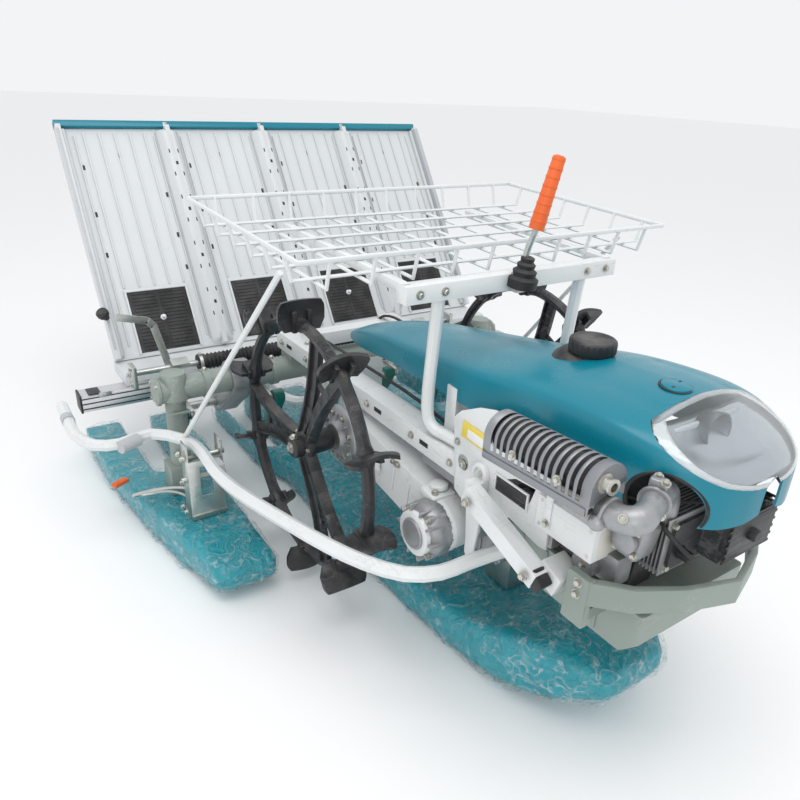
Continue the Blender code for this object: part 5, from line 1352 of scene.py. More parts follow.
def wheel_shape(sign):
    centre_x = sign * WHEEL_CENTRE_X
    shape = bmesh.new()
    # ring: a flat rolled bar, thicker where a scoop is welded to it
    steps, around = 160, 8
    rings = []
    for step in range(steps):
        angle = 2 * math.pi * step / steps
        swell = max(0.0, math.cos(SCOOPS * (angle - SCOOP_START))) ** 6
        half_wide, half_deep = 0.0125 + 0.006 * swell, 0.0115 + 0.004 * swell
        ring = []
        for corner in range(around):
            turn = 2 * math.pi * (corner + 0.5) / around
            ring.append(shape.verts.new(round_axle(centre_x + half_wide * math.cos(turn),
                                                   RING_RADIUS + half_deep * math.sin(turn), angle)))
        rings.append(ring)
    for first, second in zip(rings, rings[1:] + rings[:1]):
        for corner in range(around):
            after = (corner + 1) % around
            shape.faces.new((first[corner], first[after], second[after], second[corner]))
    # scoops
    for number in range(SCOOPS):
        angle = SCOOP_START + 2 * math.pi * number / SCOOPS
        outward, along = round_axle(0, 1, angle) - HUB, round_axle(0, 1, angle + math.pi / 2) - HUB
        rows, aims = [], []
        for row in range(7):
            share = row / 6
            radius = SCOOP_INNER + (SCOOP_OUTER - SCOOP_INNER) * share
            clip = 0.76 + 0.24 * min(1.0, share / 0.35) if share < 0.35 else 1.0 - 0.16 * max(0.0,
                    (share - 0.78) / 0.22)
            line, line_aims = [], []
            for column in range(9):
                side = column / 8 * 2 - 1
                gutter = 0.0100 * (1 - side ** 2) * (0.4 + 0.6 * share)
                dish = gutter + 0.003 * math.sin(math.pi * share) - 0.0095
                line.append(HUB + Vector((centre_x + side * SCOOP_WIDTH / 2 * clip, 0, 0)) + outward * radius
                            + along * dish)
                line_aims.append(along)
            rows.append(line)
            aims.append(line_aims)
        add_curved_plate(shape, rows, aims, 0.0075)
        for side in (-1, 1):
            base = HUB + Vector((centre_x + side * 0.016, 0, 0))
            turn = Matrix(((1, 0, 0), (0, along.y, outward.y), (0, along.z, outward.z))).to_4x4()
            add_box(shape, base + outward * (RING_RADIUS + 0.008) + along * -0.002, (0.009, 0.019, 0.042),
                    turn, 0.0015)
    # forked spokes, each a pressed plate with a raised rim
    for degrees in SPOKE_ANGLES:
        angle = math.radians(degrees)
        outward, along = round_axle(0, 1, angle) - HUB, round_axle(0, 1, angle + math.pi / 2) - HUB
        turn = Matrix(((1, 0, 0), (0, along.y, outward.y), (0, along.z, outward.z))).to_4x4()
        for side in (-1, 1):
            path = [(0.026, 0.008), (0.060, 0.010), (0.105, 0.013), (0.150, 0.020), (0.195, 0.032),
                    (0.248, 0.048)]
            for (r0, a0), (r1, a1) in zip(path, path[1:]):
                start = HUB + Vector((centre_x, 0, 0)) + outward * r0 + along * (a0 * side)
                end = HUB + Vector((centre_x, 0, 0)) + outward * r1 + along * (a1 * side)
                middle, run = (start + end) / 2, end - start
                lean = turned(math.atan2((a1 - a0) * side, r1 - r0), "X")
                add_box(shape, middle, (0.0120, 0.026, run.length + 0.004), turn @ lean.inverted(), 0.0015)
                rim = along * (side * 0.0115)
                add_box(shape, middle + rim, (0.024, 0.0055, run.length + 0.003), turn @ lean.inverted(),
                        0.0010)
        add_box(shape, HUB + Vector((centre_x, 0, 0)) + outward * 0.172, (0.006, 0.040, 0.010), turn, 0.0012)
        add_box(shape, HUB + Vector((centre_x, 0, 0)) + outward * 0.064, (0.006, 0.014, 0.085), turn, 0.0015)
    # hub with its clamp
    outer, inner = sign * 0.330, sign * 0.240
    add_lathe(shape, [(0.0, 0.0), (0.020, 0.0), (0.024, 0.003), (0.024, 0.020), (0.036, 0.024),
            (0.038, 0.030),
                      (0.036, 0.036), (0.026, 0.040), (0.024, 0.084), (0.021, 0.089), (0.0, 0.089)],
              HUB + Vector((outer, 0, 0)), Vector((inner - outer, 0, 0)), 32)
    return shape


for side, sign in SIDES.items():
    body = "wheel_" + side
    fit_out("wheel_weldment_" + side, wheel_shape(sign), WHEEL_BLACK, body,
            ("wheel_ring_" + side, "wheel_spider_" + side), angle=40)
    bolts = bmesh.new()
    add_bolt(bolts, HUB + Vector((sign * 0.324, 0, 0.022)), (0, 0, 1), 0.0055)
    add_bolt(bolts, HUB + Vector((sign * 0.3305, 0, 0)), (sign, 0, 0), 0.0070, 1.7)
    for number in range(3):
        angle = math.radians(4 + 120 * number)
        add_bolt(bolts, round_axle(sign * 0.3060, 0.030, angle), (sign, 0, 0), 0.0042, 1.4)
    fit_out("wheel_bolts_" + side, bolts, BOLT_STEEL, body)
print("wheels made")

# %% [markdown]
# ## Final drives
# The swing cases carry the drive down to the wheels. Each ends in a round housing whose ribbed cover is
# held by a ring of bolts, and near its pivot there is a ribbed cast drum that takes the lifting rod.

# %% Final drives, drums and their bolts
DRIVE_INNER, DRIVE_OUTER = 0.1953, 0.2350
DRIVE_RADIUS = 0.066
DRUM_Y, DRUM_Z = -0.325, 0.295
for side, sign in SIDES.items():
    body = "lift_arm_" + side
    drive = bmesh.new()
    start = HUB + Vector((sign * DRIVE_INNER, 0, 0))
    aim = Vector((sign, 0, 0))
    length = DRIVE_OUTER - DRIVE_INNER
    add_lathe(drive, [(0.0, 0.0), (DRIVE_RADIUS - 0.004, 0.0), (DRIVE_RADIUS, 0.004), (DRIVE_RADIUS, 0.012),
                      (DRIVE_RADIUS - 0.002, 0.013), (DRIVE_RADIUS - 0.002, 0.015), (DRIVE_RADIUS, 0.016),
                      (DRIVE_RADIUS, 0.022), (DRIVE_RADIUS - 0.006, 0.026), (0.044, 0.027), (0.036, 0.032),
                      (0.030, length - 0.0012), (0.026, length - 0.0012), (0.024, length - 0.006),
                              (0.0, length - 0.006)],
              start, aim, 64)
    for number in range(8):
        angle = 2 * math.pi * (number + 0.5) / 8
        spot = start + Vector((sign * 0.027, 0.052 * math.cos(angle), 0.052 * math.sin(angle)))
        add_rod(drive, spot - aim * 0.020, spot, 0.0095, 0.0085, 20)
        turn = turned(angle, "X")
        add_box(drive, start + Vector((sign * 0.0285, 0.042 * math.cos(angle + 0.39),
                0.042 * math.sin(angle + 0.39))),
                (0.007, 0.022, 0.0045), turned(angle + 0.39, "X"), 0.0012)
    fit_out("final_drive_casting_" + side, drive, CAST_METAL, body,
            ("final_drive_" + side,),
            bevel=0.0006, angle=40)
    bolts = bmesh.new()
    for number in range(8):
        angle = 2 * math.pi * (number + 0.5) / 8
        add_bolt(bolts, start + Vector((sign * 0.027, 0.052 * math.cos(angle), 0.052 * math.sin(angle))), aim,
                0.0046, 1.4)
    for along in (-0.100, -0.062):
        add_bolt(bolts, at(sign * 0.1955, -0.150 + along * 0.4, 0.352), aim, 0.0048)
    fit_out("final_drive_bolts_" + side, bolts, BOLT_STEEL, body)

    drum = bmesh.new()
    face = at(sign * 0.2505, DRUM_Y, DRUM_Z)
    back = at(sign * 0.1945, DRUM_Y, DRUM_Z)
    add_lathe(drum, [(0.022, 0.048), (0.022, 0.0595), (0.027, 0.0600), (0.029, 0.058), (0.030, 0.052),
            (0.043, 0.048),
                     (0.050, 0.040), (0.0535, 0.030), (0.0535, 0.012), (0.050, 0.006), (0.050, 0.0),
                             (0.0, 0.0)],
              back, aim, 56)
    add_lathe(drum, [(0.022, 0.0594), (0.022, 0.010), (0.008, 0.010), (0.008, 0.022), (0.0, 0.022)], back,
            aim, 40)
    for number in range(10):
        angle = 2 * math.pi * number / 10
        middle = back + Vector((sign * 0.030, 0.048 * math.cos(angle), 0.048 * math.sin(angle)))
        add_box(drum, middle, (0.050, 0.011, 0.0045), turned(angle, "X"), 0.0010)
    for number in range(4):
        angle = math.radians(35 + 90 * number)
        lug = back + Vector((sign * 0.010, 0.046 * math.cos(angle), 0.046 * math.sin(angle)))
        add_rod(drum, lug, lug + aim * 0.034, 0.0085, 0.0075, 18)
    fit_out("lift_drum_" + side, drum, CAST_METAL, body, bevel=0.0006, angle=40)
    # A dark lining in the drum's bore is painted shade.
    bore = bmesh.new()
    add_lathe(bore, [(0.0, 0.044), (0.0215, 0.044), (0.0215, 0.058)], back, aim, 40)
    fit_out("drum_bore_shade_" + side, bore, DARK_ENAMEL_AND_HOLE_SHADE, body)
    top_block = bmesh.new()
    add_box(top_block, at(sign * 0.182, DRUM_Y + 0.024, DRUM_Z + 0.050), (0.052, 0.042, 0.020),
            turned(math.radians(10), "X"), 0.004)
    add_lathe(top_block, [(0.0, 0.0), (0.017, 0.0), (0.018, 0.003), (0.018, 0.010), (0.012, 0.012),
            (0.0, 0.012)],
              at(sign * 0.178, DRUM_Y + 0.026, DRUM_Z + 0.058), (0, 0.15, 1), 24)
    fit_out("drum_cap_" + side, top_block, WHITE_PAINT, body, bevel=0.001)
    bolts = bmesh.new()
    for number in range(4):
        angle = math.radians(35 + 90 * number)
        add_bolt(bolts, back + Vector((sign * 0.0445, 0.046 * math.cos(angle), 0.046 * math.sin(angle))), aim,
                0.0045)
    add_bolt(bolts, at(sign * 0.196, DRUM_Y + 0.014, DRUM_Z + 0.060), (0, 0, 1), 0.0045)
    fit_out("drum_bolts_" + side, bolts, BOLT_STEEL, body)

    arm = bmesh.new()
    add_box(arm, at(sign * 0.2005, -0.105, 0.318), (0.010, 0.052, 0.030), turned(math.radians(-12), "X"),
            0.004)
    fit_out("swing_lug_" + side, arm, WHITE_PAINT, body)
    # casting ribs and parting flange on the painted swing case
    ribs = bmesh.new()
    case_from, case_to = at(sign * 0.165, DRUM_Y, DRUM_Z), HUB + Vector((sign * 0.165, 0, 0))
    run = case_to - case_from
    lean = turned(math.atan2(run.z, run.y), "X")
    for share in (0.30, 0.46, 0.62):
        add_box(ribs, case_from + run * share + Vector((sign * 0.0305, 0, 0)), (0.004, 0.0055, 0.050), lean,
                0.001)
    fit_out("swing_case_ribs_" + side, ribs, WHITE_PAINT, body)
print("final drives made")

# %% [markdown]
# ## Seedling tray
# Four mats of seedlings slide down the tray, side by side. Each lane is a white moulding with thin ribs
# that run up the slope, so that a wet mat does not stick. The dividers between lanes are hollow humps
# with a row of oval holes. At the foot of each lane a ribbed belt pulls its mat on, and a grey frame
# surrounds it. All of it is laid out in the tray's own three directions: across, up the slope and out.

# %% The tray's own directions
TRAY_BODY = "tray"
TRAY_SLOPE = math.radians(55.2)
TRAY_WIDTH, TRAY_LENGTH = 1.210, 0.678
TRAY_MIDDLE_X = 0.101
DIVIDERS = (-0.598, -0.300, 0.0, 0.300, 0.598)
LANES = (-0.450, -0.150, 0.150, 0.450)
UP_SLOPE = Vector((0, math.cos(TRAY_SLOPE), math.sin(TRAY_SLOPE)))
TRAY_OUT = Vector((0, -math.sin(TRAY_SLOPE), math.cos(TRAY_SLOPE)))
TRAY_TURN = Matrix(((1, 0, 0), (0, UP_SLOPE.y, TRAY_OUT.y), (0, UP_SLOPE.z, TRAY_OUT.z))).to_4x4()


def on_tray(across, slope, out=0.0):
    return at(TRAY_MIDDLE_X + across, 0.725, 0.298) + UP_SLOPE * slope + TRAY_OUT * out


def add_hump(shape, across, start, end, base, top, height, foot=0.0):
    """A hollow divider: a ridge whose sides lean in, with a rounded end at each end."""
    rows = []
    taper = height * 1.1
    for slope, grow in ((start, 0.0), (start + taper * 0.4, 0.72), (start + taper, 1.0),
            (end - taper * 0.5, 1.0),
                        (end, 0.35)):
        row = []
        for side, level in ((-base, foot), (-top, 0.86), (-top * 0.72, 1.0), (top * 0.72, 1.0), (top, 0.86),
                (base, foot)):
            row.append(shape.verts.new(on_tray(across + side / 2, slope, 0.0005 + height * grow * level)))
        rows.append(row)
    for low, high in zip(rows, rows[1:]):
        for a, b, c, d in zip(low, low[1:], high[1:], high):
            shape.faces.new((a, b, c, d))
    shape.faces.new(rows[0])
    shape.faces.new(rows[-1])
    for low, high in zip(rows, rows[1:]):
        shape.faces.new((low[0], high[0], high[-1], low[-1]))


# %% [markdown]
# The rib spacing is measured from the lane and not from the tray, so every lane gets the same five ribs.

# %% Ribs, dividers and strips
RIB_PITCH = 0.042
ribs = bmesh.new()
humps = bmesh.new()
strips = bmesh.new()
holes = bmesh.new()
for lane in LANES:
    for number in range(-2, 3):
        start = 0.200 if abs(number * RIB_PITCH) < 0.088 else 0.030
        middle = on_tray(lane + number * RIB_PITCH, (start + TRAY_LENGTH - 0.012) / 2, 0.0022)
        add_box(ribs, middle, (0.0042, TRAY_LENGTH - 0.012 - start, 0.0044), TRAY_TURN, 0.0012)
    for side in (-1, 1):
        add_box(ribs, on_tray(lane + side * 0.110, 0.345, 0.0030), (0.003, 0.620, 0.0060), TRAY_TURN, 0.0010)
for divider in DIVIDERS[1:-1]:
    add_hump(humps, divider, 0.006, TRAY_LENGTH - 0.006, 0.064, 0.034, 0.0255)
    # Grey strips along the foot of each divider paint the shade where the hump meets the lane.
    for side in (-1, 1):
        add_box(strips, on_tray(divider + side * 0.0335, 0.345, 0.0012), (0.0045, 0.640, 0.0022), TRAY_TURN,
                0.0006)
# The oval holes on the dividers and the holes in the lanes are dark patches: painted shade.
for divider in DIVIDERS[1:-1]:
    for step in range(8):
        slope = 0.090 + 0.072 * step
        for side in (-1, 1):
            spot = on_tray(divider + side * 0.0125, slope, 0.0254)
            add_box(holes, spot, (0.0035, 0.012, 0.0010), TRAY_TURN, 0.0004)
        if step % 2 == 0:
            add_box(holes, on_tray(divider + 0.0008, slope + 0.034, 0.0257), (0.0075, 0.0105, 0.0010),
                    TRAY_TURN, 0.0004)
for lane in LANES:
    for step, (offset, slope) in enumerate(((0.104, 0.245), (0.104, 0.345), (-0.104, 0.300), (-0.104, 0.420),
                                            (0.104, 0.470), (0.0, 0.595), (-0.104, 0.560))):
        add_box(holes, on_tray(lane + offset, slope, 0.0006), (0.006, 0.014, 0.0012), TRAY_TURN, 0.0004)
for side in (-1, 1):
    edge = DIVIDERS[-1] * side
    add_box(humps, on_tray(edge - side * 0.0125, 0.340, 0.0060), (0.0110, 0.664, 0.0120), TRAY_TURN, 0.0025)
    add_box(strips, on_tray(edge + side * 0.0032, 0.345, 0.0265), (0.0070, 0.640, 0.0016), TRAY_TURN, 0.0005)
fit_out("tray_ribs", ribs, TRAY_WHITE, TRAY_BODY)
round_edges(fit_out("tray_dividers", humps, TRAY_WHITE, TRAY_BODY), 0.003, 30, 2)
fit_out("tray_foot_shade_and_edge_strips", strips, TRAY_GREY_AND_FOOT_SHADE, TRAY_BODY)
fit_out("tray_hole_shade", holes, RUBBER_AND_GAP_SHADE, TRAY_BODY)
side_wall = bmesh.new()
add_box(side_wall, on_tray(DIVIDERS[-1] + 0.0002, 0.350, 0.0135), (0.0146, 0.640, 0.0262), TRAY_TURN, 0.0008)
fit_out("tray_grey_wall", side_wall, TRAY_GREY_AND_FOOT_SHADE, TRAY_BODY)

# %% [markdown]
# Each belt is ribbed rubber on two rollers, with a slot down its middle that a white guide pin rises
# through. The frame round it is white, and its corners are rounded.

# %% Belts and their frames
belts = bmesh.new()
frames = bmesh.new()
pins = bmesh.new()
BELT_HALF, BELT_LOW, BELT_HIGH = 0.0825, 0.012, 0.186
for lane in LANES:
    for step in range(17):
        slope = BELT_LOW + 0.007 + (BELT_HIGH - BELT_LOW - 0.014) * step / 16
        for side in (-1, 1):
            add_box(belts, on_tray(lane + side * 0.0385, slope, 0.0036), (0.064, 0.0046, 0.0020), TRAY_TURN,
                    0.0007)
    for side in (-1, 1):
        add_box(frames, on_tray(lane + side * (BELT_HALF + 0.0022), (BELT_LOW + BELT_HIGH) / 2, 0.0034),
                (0.0058, BELT_HIGH - BELT_LOW + 0.010, 0.0066), TRAY_TURN, 0.0020)
    add_box(frames, on_tray(lane, BELT_HIGH + 0.0035, 0.0034), (2 * BELT_HALF + 0.010, 0.0080, 0.0066),
            TRAY_TURN, 0.0025)
    # A dark strip down the belt's middle paints the shade in its slot.
    add_box(belts, on_tray(lane, 0.092, 0.0034), (0.0085, 0.150, 0.0010), TRAY_TURN, 0.0003)
    add_lathe(pins, [(0.0, 0.0), (0.0085, 0.0), (0.0075, 0.004), (0.0048, 0.006), (0.0042, 0.014),
            (0.0, 0.0155)],
              on_tray(lane, 0.104, 0.0030), TRAY_OUT, 20)
fit_out("belt_ribs", belts, RUBBER_AND_GAP_SHADE, TRAY_BODY)
fit_out("belt_frames", frames, TRAY_WHITE, TRAY_BODY)
fit_out("belt_pins", pins, WHITE_LABEL, TRAY_BODY)

# %% [markdown]
# Behind the sheet, flanges and cross ribs stiffen the moulding, and clips hold the teal trim to its top
# edge.

# %% Back ribs and trim clips
back = bmesh.new()
for divider in DIVIDERS[1:-1] + LANES:
    add_box(back, on_tray(divider, 0.345, -0.0135), (0.0040, 0.640, 0.0040), TRAY_TURN, 0.0010)
for slope in (0.060, 0.140, 0.320, 0.400, 0.480, 0.640):
    add_box(back, on_tray(0, slope, -0.0138), (TRAY_WIDTH - 0.030, 0.0035, 0.0040), TRAY_TURN, 0.0010)
fit_out("tray_back_ribs", back, TRAY_WHITE, TRAY_BODY)
clips = bmesh.new()
for divider in DIVIDERS[1:-1]:
    add_box(clips, on_tray(divider, 0.6865, 0.0105), (0.012, 0.0150, 0.0034), TRAY_TURN, 0.0010)
    add_bolt(clips, on_tray(divider, 0.6865, 0.0118), TRAY_OUT, 0.0018)
fit_out("tray_trim_clips", clips, ZINC, TRAY_BODY)
print("tray made")

# %% [markdown]
# ## Floats
# The machine rides on three hollow moulded floats, still in the film they were shipped in. The packed
# floats are plain hulls. Here each hull is divided finely and its corners relaxed, so that its edges
# round over, and a second, looser copy makes the creased film. The film stands at most 9 mm proud of
# the imported float's box.

# %% Round hulls and their film
def relaxed(piece, cuts, passes):
    """Divide the faces of a hull finely and round it."""
    shape = bmesh.new()
    shape.from_mesh(piece.data)
    bmesh.ops.remove_doubles(shape, verts=shape.verts, dist=0.0002)
    bmesh.ops.dissolve_limit(shape, angle_limit=math.radians(1.5), verts=shape.verts, edges=shape.edges)
    bmesh.ops.triangulate(shape, faces=[face for face in shape.faces if len(face.verts) > 4])
    for _ in range(cuts):
        long_edges = [edge for edge in shape.edges if edge.calc_length() > 0.030]
        if not long_edges:
            break
        bmesh.ops.subdivide_edges(shape, edges=long_edges, cuts=1)
        bmesh.ops.triangulate(shape, faces=[face for face in shape.faces if len(face.verts) > 3])
    for _ in range(passes):
        bmesh.ops.smooth_vert(shape, verts=shape.verts, factor=0.5, use_axis_x=True, use_axis_y=True,
                use_axis_z=True)
    return shape


SWAY_SHIFTS = (Vector((0, 0, 0)), Vector((19, 5, 11)), Vector((7, 23, 3)))


def ripple(point, scale):
    """Height of the film's folds at a point, between 0 and 1."""
    slow = point * scale * 0.7
    sway = Vector([noise.noise(slow + shift) for shift in SWAY_SHIFTS])
    swayed = point * scale + sway * 0.8
    fold = 1 - abs(noise.noise(swayed)) * 2.2
    small = 1 - abs(noise.noise(swayed * 2.6 + Vector((4, 1, 7)))) * 2.0
    return max(0.0, 0.65 * max(0.0, fold) ** 3 + 0.35 * max(0.0, small) ** 3)


for name in ("side_float_right", "side_float_left", "centre_float"):
    low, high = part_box(name)
    hull = relaxed(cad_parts[name], 5, 3)
    hull.normal_update()
    for vert in hull.verts:
        vert.co -= vert.normal * 0.0025
    fit_out(name + "_hull", hull, FLOAT_PLASTIC, replaces=(name,), angle=70)
    film = relaxed(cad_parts[name], 6, 2)
    film.normal_update()
    for vert in film.verts:
        vert.co += vert.normal * (ripple(vert.co, 7.0) * 0.0120 - 0.0012)
        for axis in range(3):
            vert.co[axis] = max(low[axis] - 0.009, min(high[axis] + 0.009, vert.co[axis]))
        vert.co.z = max(vert.co.z, low.z + 0.0005)
    fit_out(name + "_film", film, FILM, angle=80)
print("floats made")

# %% [markdown]
# ## Planting gear
# A feed shaft runs across the machine under the foot of the tray, through two rubber bellows that keep mud
# off its screw. Bolted brackets carry it, and the tray slides on the grooved rail behind it.

# %% Feed shaft and its bellows
FEED_Y, FEED_Z = 0.565, 0.320
shaft = bmesh.new()
add_rod(shaft, at(-0.505, FEED_Y, FEED_Z), at(0.505, FEED_Y, FEED_Z), 0.0080, sides=24)
fit_out("feed_rod", shaft, ZINC, replaces=("feed_shaft",))
bellows = bmesh.new()
for side in (-1, 1):
    profile = [(0.0100, 0.0), (0.0215, 0.0), (0.0215, 0.010)]
    for fold in range(22):
        profile += [(0.0175, 0.0155 + 0.0110 * fold), (0.0215, 0.0210 + 0.0110 * fold)]
    profile += [(0.0215, 0.262), (0.0215, 0.270), (0.0100, 0.270)]
    add_lathe(bellows, profile, at(side * 0.060, FEED_Y, FEED_Z), (side, 0, 0), 36)
fit_out("feed_bellows", bellows, RUBBER_AND_GAP_SHADE, angle=25)
clamps = bmesh.new()
for side in (-1, 1):
    for x in (0.066, 0.324):
        add_lathe(clamps, [(0.0218, -0.0045), (0.0228, -0.0040), (0.0228, 0.0040), (0.0218, 0.0045)],
                  at(side * x, FEED_Y, FEED_Z), (side, 0, 0), 32)
        add_box(clamps, at(side * x, FEED_Y - 0.002, FEED_Z + 0.0245), (0.008, 0.012, 0.0040), None, 0.0010)
    add_lathe(clamps, [(0.0080, -0.012), (0.020, -0.012), (0.0265, -0.006), (0.0265, 0.006), (0.020, 0.012),
            (0.0080, 0.012)],
              at(side * 0.042, FEED_Y, FEED_Z), (side, 0, 0), 32)
    add_box(clamps, at(side * 0.497, FEED_Y, FEED_Z - 0.006), (0.012, 0.046, 0.058), None, 0.003)
    add_box(clamps, at(side * 0.470, FEED_Y + 0.014, FEED_Z - 0.034), (0.066, 0.016, 0.005), None, 0.002)
    add_box(clamps, at(side * 0.380, FEED_Y - 0.010, FEED_Z + 0.016), (0.044, 0.030, 0.004), turned(0.3, "X"),
            0.001)
    for height in (-0.024, 0.018):
        add_bolt(clamps, at(side * 0.5035, FEED_Y - 0.012, FEED_Z + height), (side, 0, 0), 0.0050)
    add_bolt(clamps, at(side * 0.5035, FEED_Y + 0.012, FEED_Z - 0.006), (side, 0, 0), 0.0060)
fit_out("feed_brackets", clamps, ZINC)

# Thin dark lines paint the shade in the rail's grooves.
rail_lines = bmesh.new()
for height in (0.2245, 0.2385, 0.2525):
    add_box(rail_lines, at(0, 0.6149, height), (1.236, 0.0012, 0.0030), None, 0.0)
fit_out("rail_groove_shade", rail_lines, RUBBER_AND_GAP_SHADE)
rail_caps = bmesh.new()
for side in (-1, 1):
    add_box(rail_caps, at(side * 0.6195, 0.640, 0.2385), (0.0050, 0.0515, 0.0485), None, 0.0015)
    add_box(rail_caps, at(side * 0.585, 0.6335, 0.2635), (0.030, 0.040, 0.0040), None, 0.0012)
fit_out("rail_end_caps", rail_caps, BLACK_PLASTIC)
rail_clips = bmesh.new()
for x in (-0.560, -0.400, -0.200, 0.0, 0.200, 0.400, 0.560):
    add_box(rail_clips, at(x, 0.6130, 0.2590), (0.030, 0.0050, 0.0120), None, 0.0012)
    add_bolt(rail_clips, at(x, 0.6110, 0.2590), (0, -1, 0), 0.0036, 1.3)
fit_out("rail_clips", rail_clips, ZINC)
print("planting gear fitted")

# %% [markdown]
# Each end pillar is a casting with ribs, and each planting arm has a fork with two claws. The bolts on an
# arm ride on that arm's body, so they turn with it.

# %% Pillars, planting arms and the cross tube
pillar_bolts = bmesh.new()
pillar_ribs = bmesh.new()
for side in (-1, 1):
    for height in (0.150, 0.200, 0.300):
        add_box(pillar_ribs, at(side * 0.4550, 0.3300, height), (0.0500, 0.0050, 0.0070), None, 0.0015)
    add_lathe(pillar_ribs, [(0.0, 0.0), (0.030, 0.0), (0.033, 0.003), (0.033, 0.010), (0.024, 0.014),
            (0.0, 0.014)],
              at(side * 0.4880, 0.360, 0.350), (side, 0, 0), 36)
    for number in range(4):
        angle = math.pi / 4 + math.pi / 2 * number
        add_bolt(pillar_bolts, at(side * 0.4990, 0.360 + 0.026 * math.cos(angle),
                0.350 + 0.026 * math.sin(angle)),
                 (side, 0, 0), 0.0044)
for x in (-0.380, -0.210, 0.210, 0.380):
    add_lathe(pillar_ribs, [(0.0300, -0.0090), (0.0345, -0.0080), (0.0345, 0.0080), (0.0300, 0.0090)],
              at(x, 0.360, 0.350), (1, 0, 0), 36)
    add_bolt(pillar_bolts, at(x, 0.360, 0.3845), (0, 0, 1), 0.0048)
fit_out("pillar_ribs", pillar_ribs, GREY_GREEN)
fit_out("pillar_bolts", pillar_bolts, BOLT_STEEL)
for number in range(1, 5):
    low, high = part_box("planting_arm_%d" % number)
    middle = (low + high) / 2
    outward = -1 if middle.x < 0 else 1
    face_x = low.x if outward < 0 else high.x
    arm_bolts = bmesh.new()
    for share in (0.25, 0.45, 0.62):
        add_bolt(arm_bolts, Vector((face_x - outward * 0.0005, low.y + (high.y - low.y) * share,
                                    low.z + (high.z - low.z) * 0.72)), (outward, 0, 0), 0.0036, 1.3)
    fit_out("planting_arm_bolts_%d" % number, arm_bolts, BOLT_STEEL, "planter_%d" % number)
print("arms bolted")

# %% [markdown]
# ## Guards and levers
# The bent white guard tube goes round the planting gear. A clear sleeve with grey bands covers one joint,
# and a pressed bracket under it carries a wire hoop and an orange marker. Beside the tray stand a black
# knob and a bent flat lever.

# %% Guard fittings
for side, sign in SIDES.items():
    sleeves = bmesh.new()
    for start, end in (((0.600, 0.300, 0.262), (0.556, 0.320, 0.262)),
            ((0.6705, 0.508, 0.262), (0.6705, 0.484, 0.262))):
        a, b = at(sign * start[0], start[1], start[2]), at(sign * end[0], end[1], end[2])
        add_rod(sleeves, a, b, 0.0148, sides=28)
    add_box(sleeves, at(sign * 0.4400, 0.1330, 0.2500), (0.020, 0.036, 0.034), None, 0.004)
    fit_out("guard_bands_" + side, sleeves, TRAY_GREY_AND_FOOT_SHADE)
    low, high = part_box("guard_bracket_" + side)
    bracket_bolts = bmesh.new()
    for share_y, height in ((0.25, 0.12), (0.75, 0.12), (0.25, 0.85), (0.75, 0.85), (0.5, 0.5)):
        spot = Vector((low.x if sign < 0 else high.x, low.y + (high.y - low.y) * share_y,
                low.z + (high.z - low.z) * height))
        add_bolt(bracket_bolts, spot - Vector((sign * 0.001, 0, 0)), (sign, 0, 0), 0.0050)
    fit_out("guard_bracket_bolts_" + side, bracket_bolts, BOLT_STEEL)
    pipe("wire_hoop_" + side, [at(sign * x, y, z) for x, y, z in (
        (0.4650, 0.230, 0.150), (0.4900, 0.255, 0.150), (0.5400, 0.290, 0.140), (0.5800, 0.330, 0.115),
        (0.5650, 0.345, 0.102), (0.5000, 0.310, 0.112), (0.4650, 0.240, 0.118))], 0.0036, ZINC)
marker = bmesh.new()
add_box(marker, at(-0.5880, 0.4290, 0.1000), (0.040, 0.0180, 0.0090), turned(0.5, "Z"), 0.0025)
fit_out("orange_marker", marker, ORANGE_GRIP)
levers = bmesh.new()
LEVER_PATH = [(-0.510, 0.602, 0.459), (-0.438, 0.602, 0.441), (-0.424, 0.602, 0.425), (-0.393, 0.602, 0.300)]
for first, second in zip(LEVER_PATH, LEVER_PATH[1:]):
    a, b = at(*first), at(*second)
    run = b - a
    add_box(levers, (a + b) / 2, (run.length + 0.003, 0.0045, 0.019),
            turned(math.atan2(-run.z, run.x), "Y"), 0.0015)
fit_out("feed_lever", levers, ZINC)
knob = bmesh.new()
add_lathe(knob, [(0.0, 0.028), (0.010, 0.027), (0.0155, 0.022), (0.0165, 0.014), (0.0145, 0.007),
        (0.008, 0.002), (0.008, -0.006)],
          at(-0.5060, 0.7560, 0.4150), (-0.5, -0.4, 0.75), 28)
fit_out("tray_knob", knob, BLACK_PLASTIC, TRAY_BODY)

boot = bmesh.new()
add_lathe(boot, [(0.0090, 0.056), (0.0125, 0.054), (0.0115, 0.047), (0.0165, 0.043), (0.0150, 0.036),
        (0.0215, 0.031),
                 (0.0200, 0.023), (0.0270, 0.018), (0.0265, 0.002), (0.0200, 0.0)],
          at(-0.0100, -0.2740, 0.7000), (0.06, -0.10, 1), 36)
fit_out("lever_boot", boot, RUBBER_AND_GAP_SHADE, angle=28)
grip_rings = bmesh.new()
GRIP_LOW, GRIP_HIGH = at(-0.006, -0.2885, 0.803), at(0.024, -0.2915, 0.919)
for step in range(7):
    share = 0.12 + 0.12 * step
    spot = GRIP_LOW + (GRIP_HIGH - GRIP_LOW) * share
    radius = 0.0135 - 0.0025 * share + 0.0007
    add_lathe(grip_rings, [(radius - 0.002, -0.0026), (radius, -0.0016), (radius, 0.0016),
            (radius - 0.002, 0.0026)],
              spot, GRIP_HIGH - GRIP_LOW, 28)
add_lathe(grip_rings, [(0.0, 0.0020), (0.007, 0.0018), (0.0112, -0.002), (0.0116, -0.006)], GRIP_HIGH,
        GRIP_HIGH - GRIP_LOW, 28)
fit_out("lever_grip_rings", grip_rings, ORANGE_GRIP)
print("guards and levers fitted")

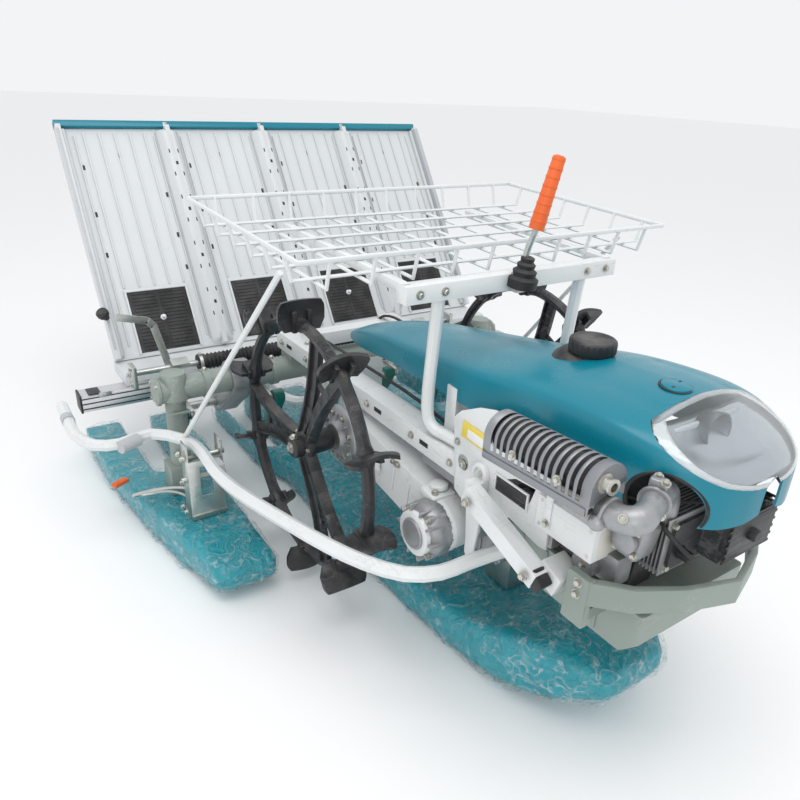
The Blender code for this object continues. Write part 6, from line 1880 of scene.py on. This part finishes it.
# %% [markdown]
# ## Frame, rack and handlebar
# Dark oblong patches, painted shade for slots, and bolt heads mark where the frame takes its fittings.
# The transmission has stiffening ribs and a ring of bolts round its cover, and soft grips and a small
# console finish the handlebar at the rear.

# %% Frame, transmission and rack fittings
frame_slot_shade = bmesh.new()
frame_bolts = bmesh.new()
for side in (-1, 1):
    for along in (-0.360, -0.240, -0.080, 0.060, 0.200, 0.330):
        add_box(frame_slot_shade, at(side * 0.1752, along, 0.416), (0.0012, 0.026, 0.0090), None, 0.0004)
        add_bolt(frame_bolts, at(side * 0.1752, along + 0.040, 0.416), (side, 0, 0), 0.0050)
    for along in (-0.400, -0.300, 0.100, 0.280):
        add_bolt(frame_bolts, at(side * 0.150, along, 0.4372), (0, 0, 1), 0.0055)
    add_bolt(frame_bolts, at(side * 0.169, -0.2635, 0.7090), (0, -1, 0), 0.0050)
    add_bolt(frame_bolts, at(side * 0.2200, -0.2635, 0.7090), (0, -1, 0), 0.0050)
    for along, height in ((-0.4400, 0.4200), (-0.5800, 0.3720)):
        add_bolt(frame_bolts, at(side * 0.2355, along, height), (side, 0, 0), 0.0055)
fit_out("frame_slot_shade", frame_slot_shade, RUBBER_AND_GAP_SHADE)
gear_ribs = bmesh.new()
for side in (-1, 1):
    for step in range(6):
        add_box(gear_ribs, at(side * 0.1062, -0.3800 + 0.0330 * step, 0.3000), (0.0034, 0.0050, 0.1700), None,
                0.0012)
for step in range(5):
    add_box(gear_ribs, at(-0.080 + 0.040 * step, -0.2950, 0.2035), (0.0050, 0.1800, 0.0040), None, 0.0012)
fit_out("transmission_ribs", gear_ribs, CAST_METAL)
for number in range(10):
    add_bolt(frame_bolts, at(-0.090 + 0.020 * number, -0.3958, 0.2140 if number % 2 else 0.3860), (0, -1, 0),
            0.0042)
fit_out("frame_bolts", frame_bolts, BOLT_STEEL)
for side, sign in SIDES.items():
    pipe("clutch_cable_" + side, [at(sign * x, y, z) for x, y, z in (
        (0.118, 0.392, 0.424), (0.120, 0.360, 0.446), (0.121, 0.220, 0.452),
        (0.122, 0.050, 0.455), (0.110, -0.180, 0.440), (0.090, -0.300, 0.400))], 0.0035, RUBBER_AND_GAP_SHADE)
    grips = bmesh.new()
    for step in range(14):
        add_lathe(grips, [(0.0170, -0.0024), (0.0186, -0.0014), (0.0186, 0.0014), (0.0170, 0.0024)],
                  at(sign * 0.270, 1.238 + 0.0080 * step, 0.790), (0, 1, 0), 28)
    fit_out("grip_rings_" + side, grips, RUBBER_AND_GAP_SHADE)
console = bmesh.new()
low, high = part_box("control_console")
console_turn = turned(math.radians(35), "X")
console_up = console_turn @ Vector((0, 0, 1))
face = (low + high) / 2 + console_up * 0.0455
for x in (-0.060, 0.0, 0.060):
    add_lathe(console, [(0.0, 0.016), (0.008, 0.016), (0.011, 0.012), (0.011, 0.004), (0.015, 0.0),
            (0.015, -0.003)],
              face + Vector((x, 0, 0)), console_up, 24)
fit_out("console_knobs", console, ORANGE_GRIP)
print("all fittings made")
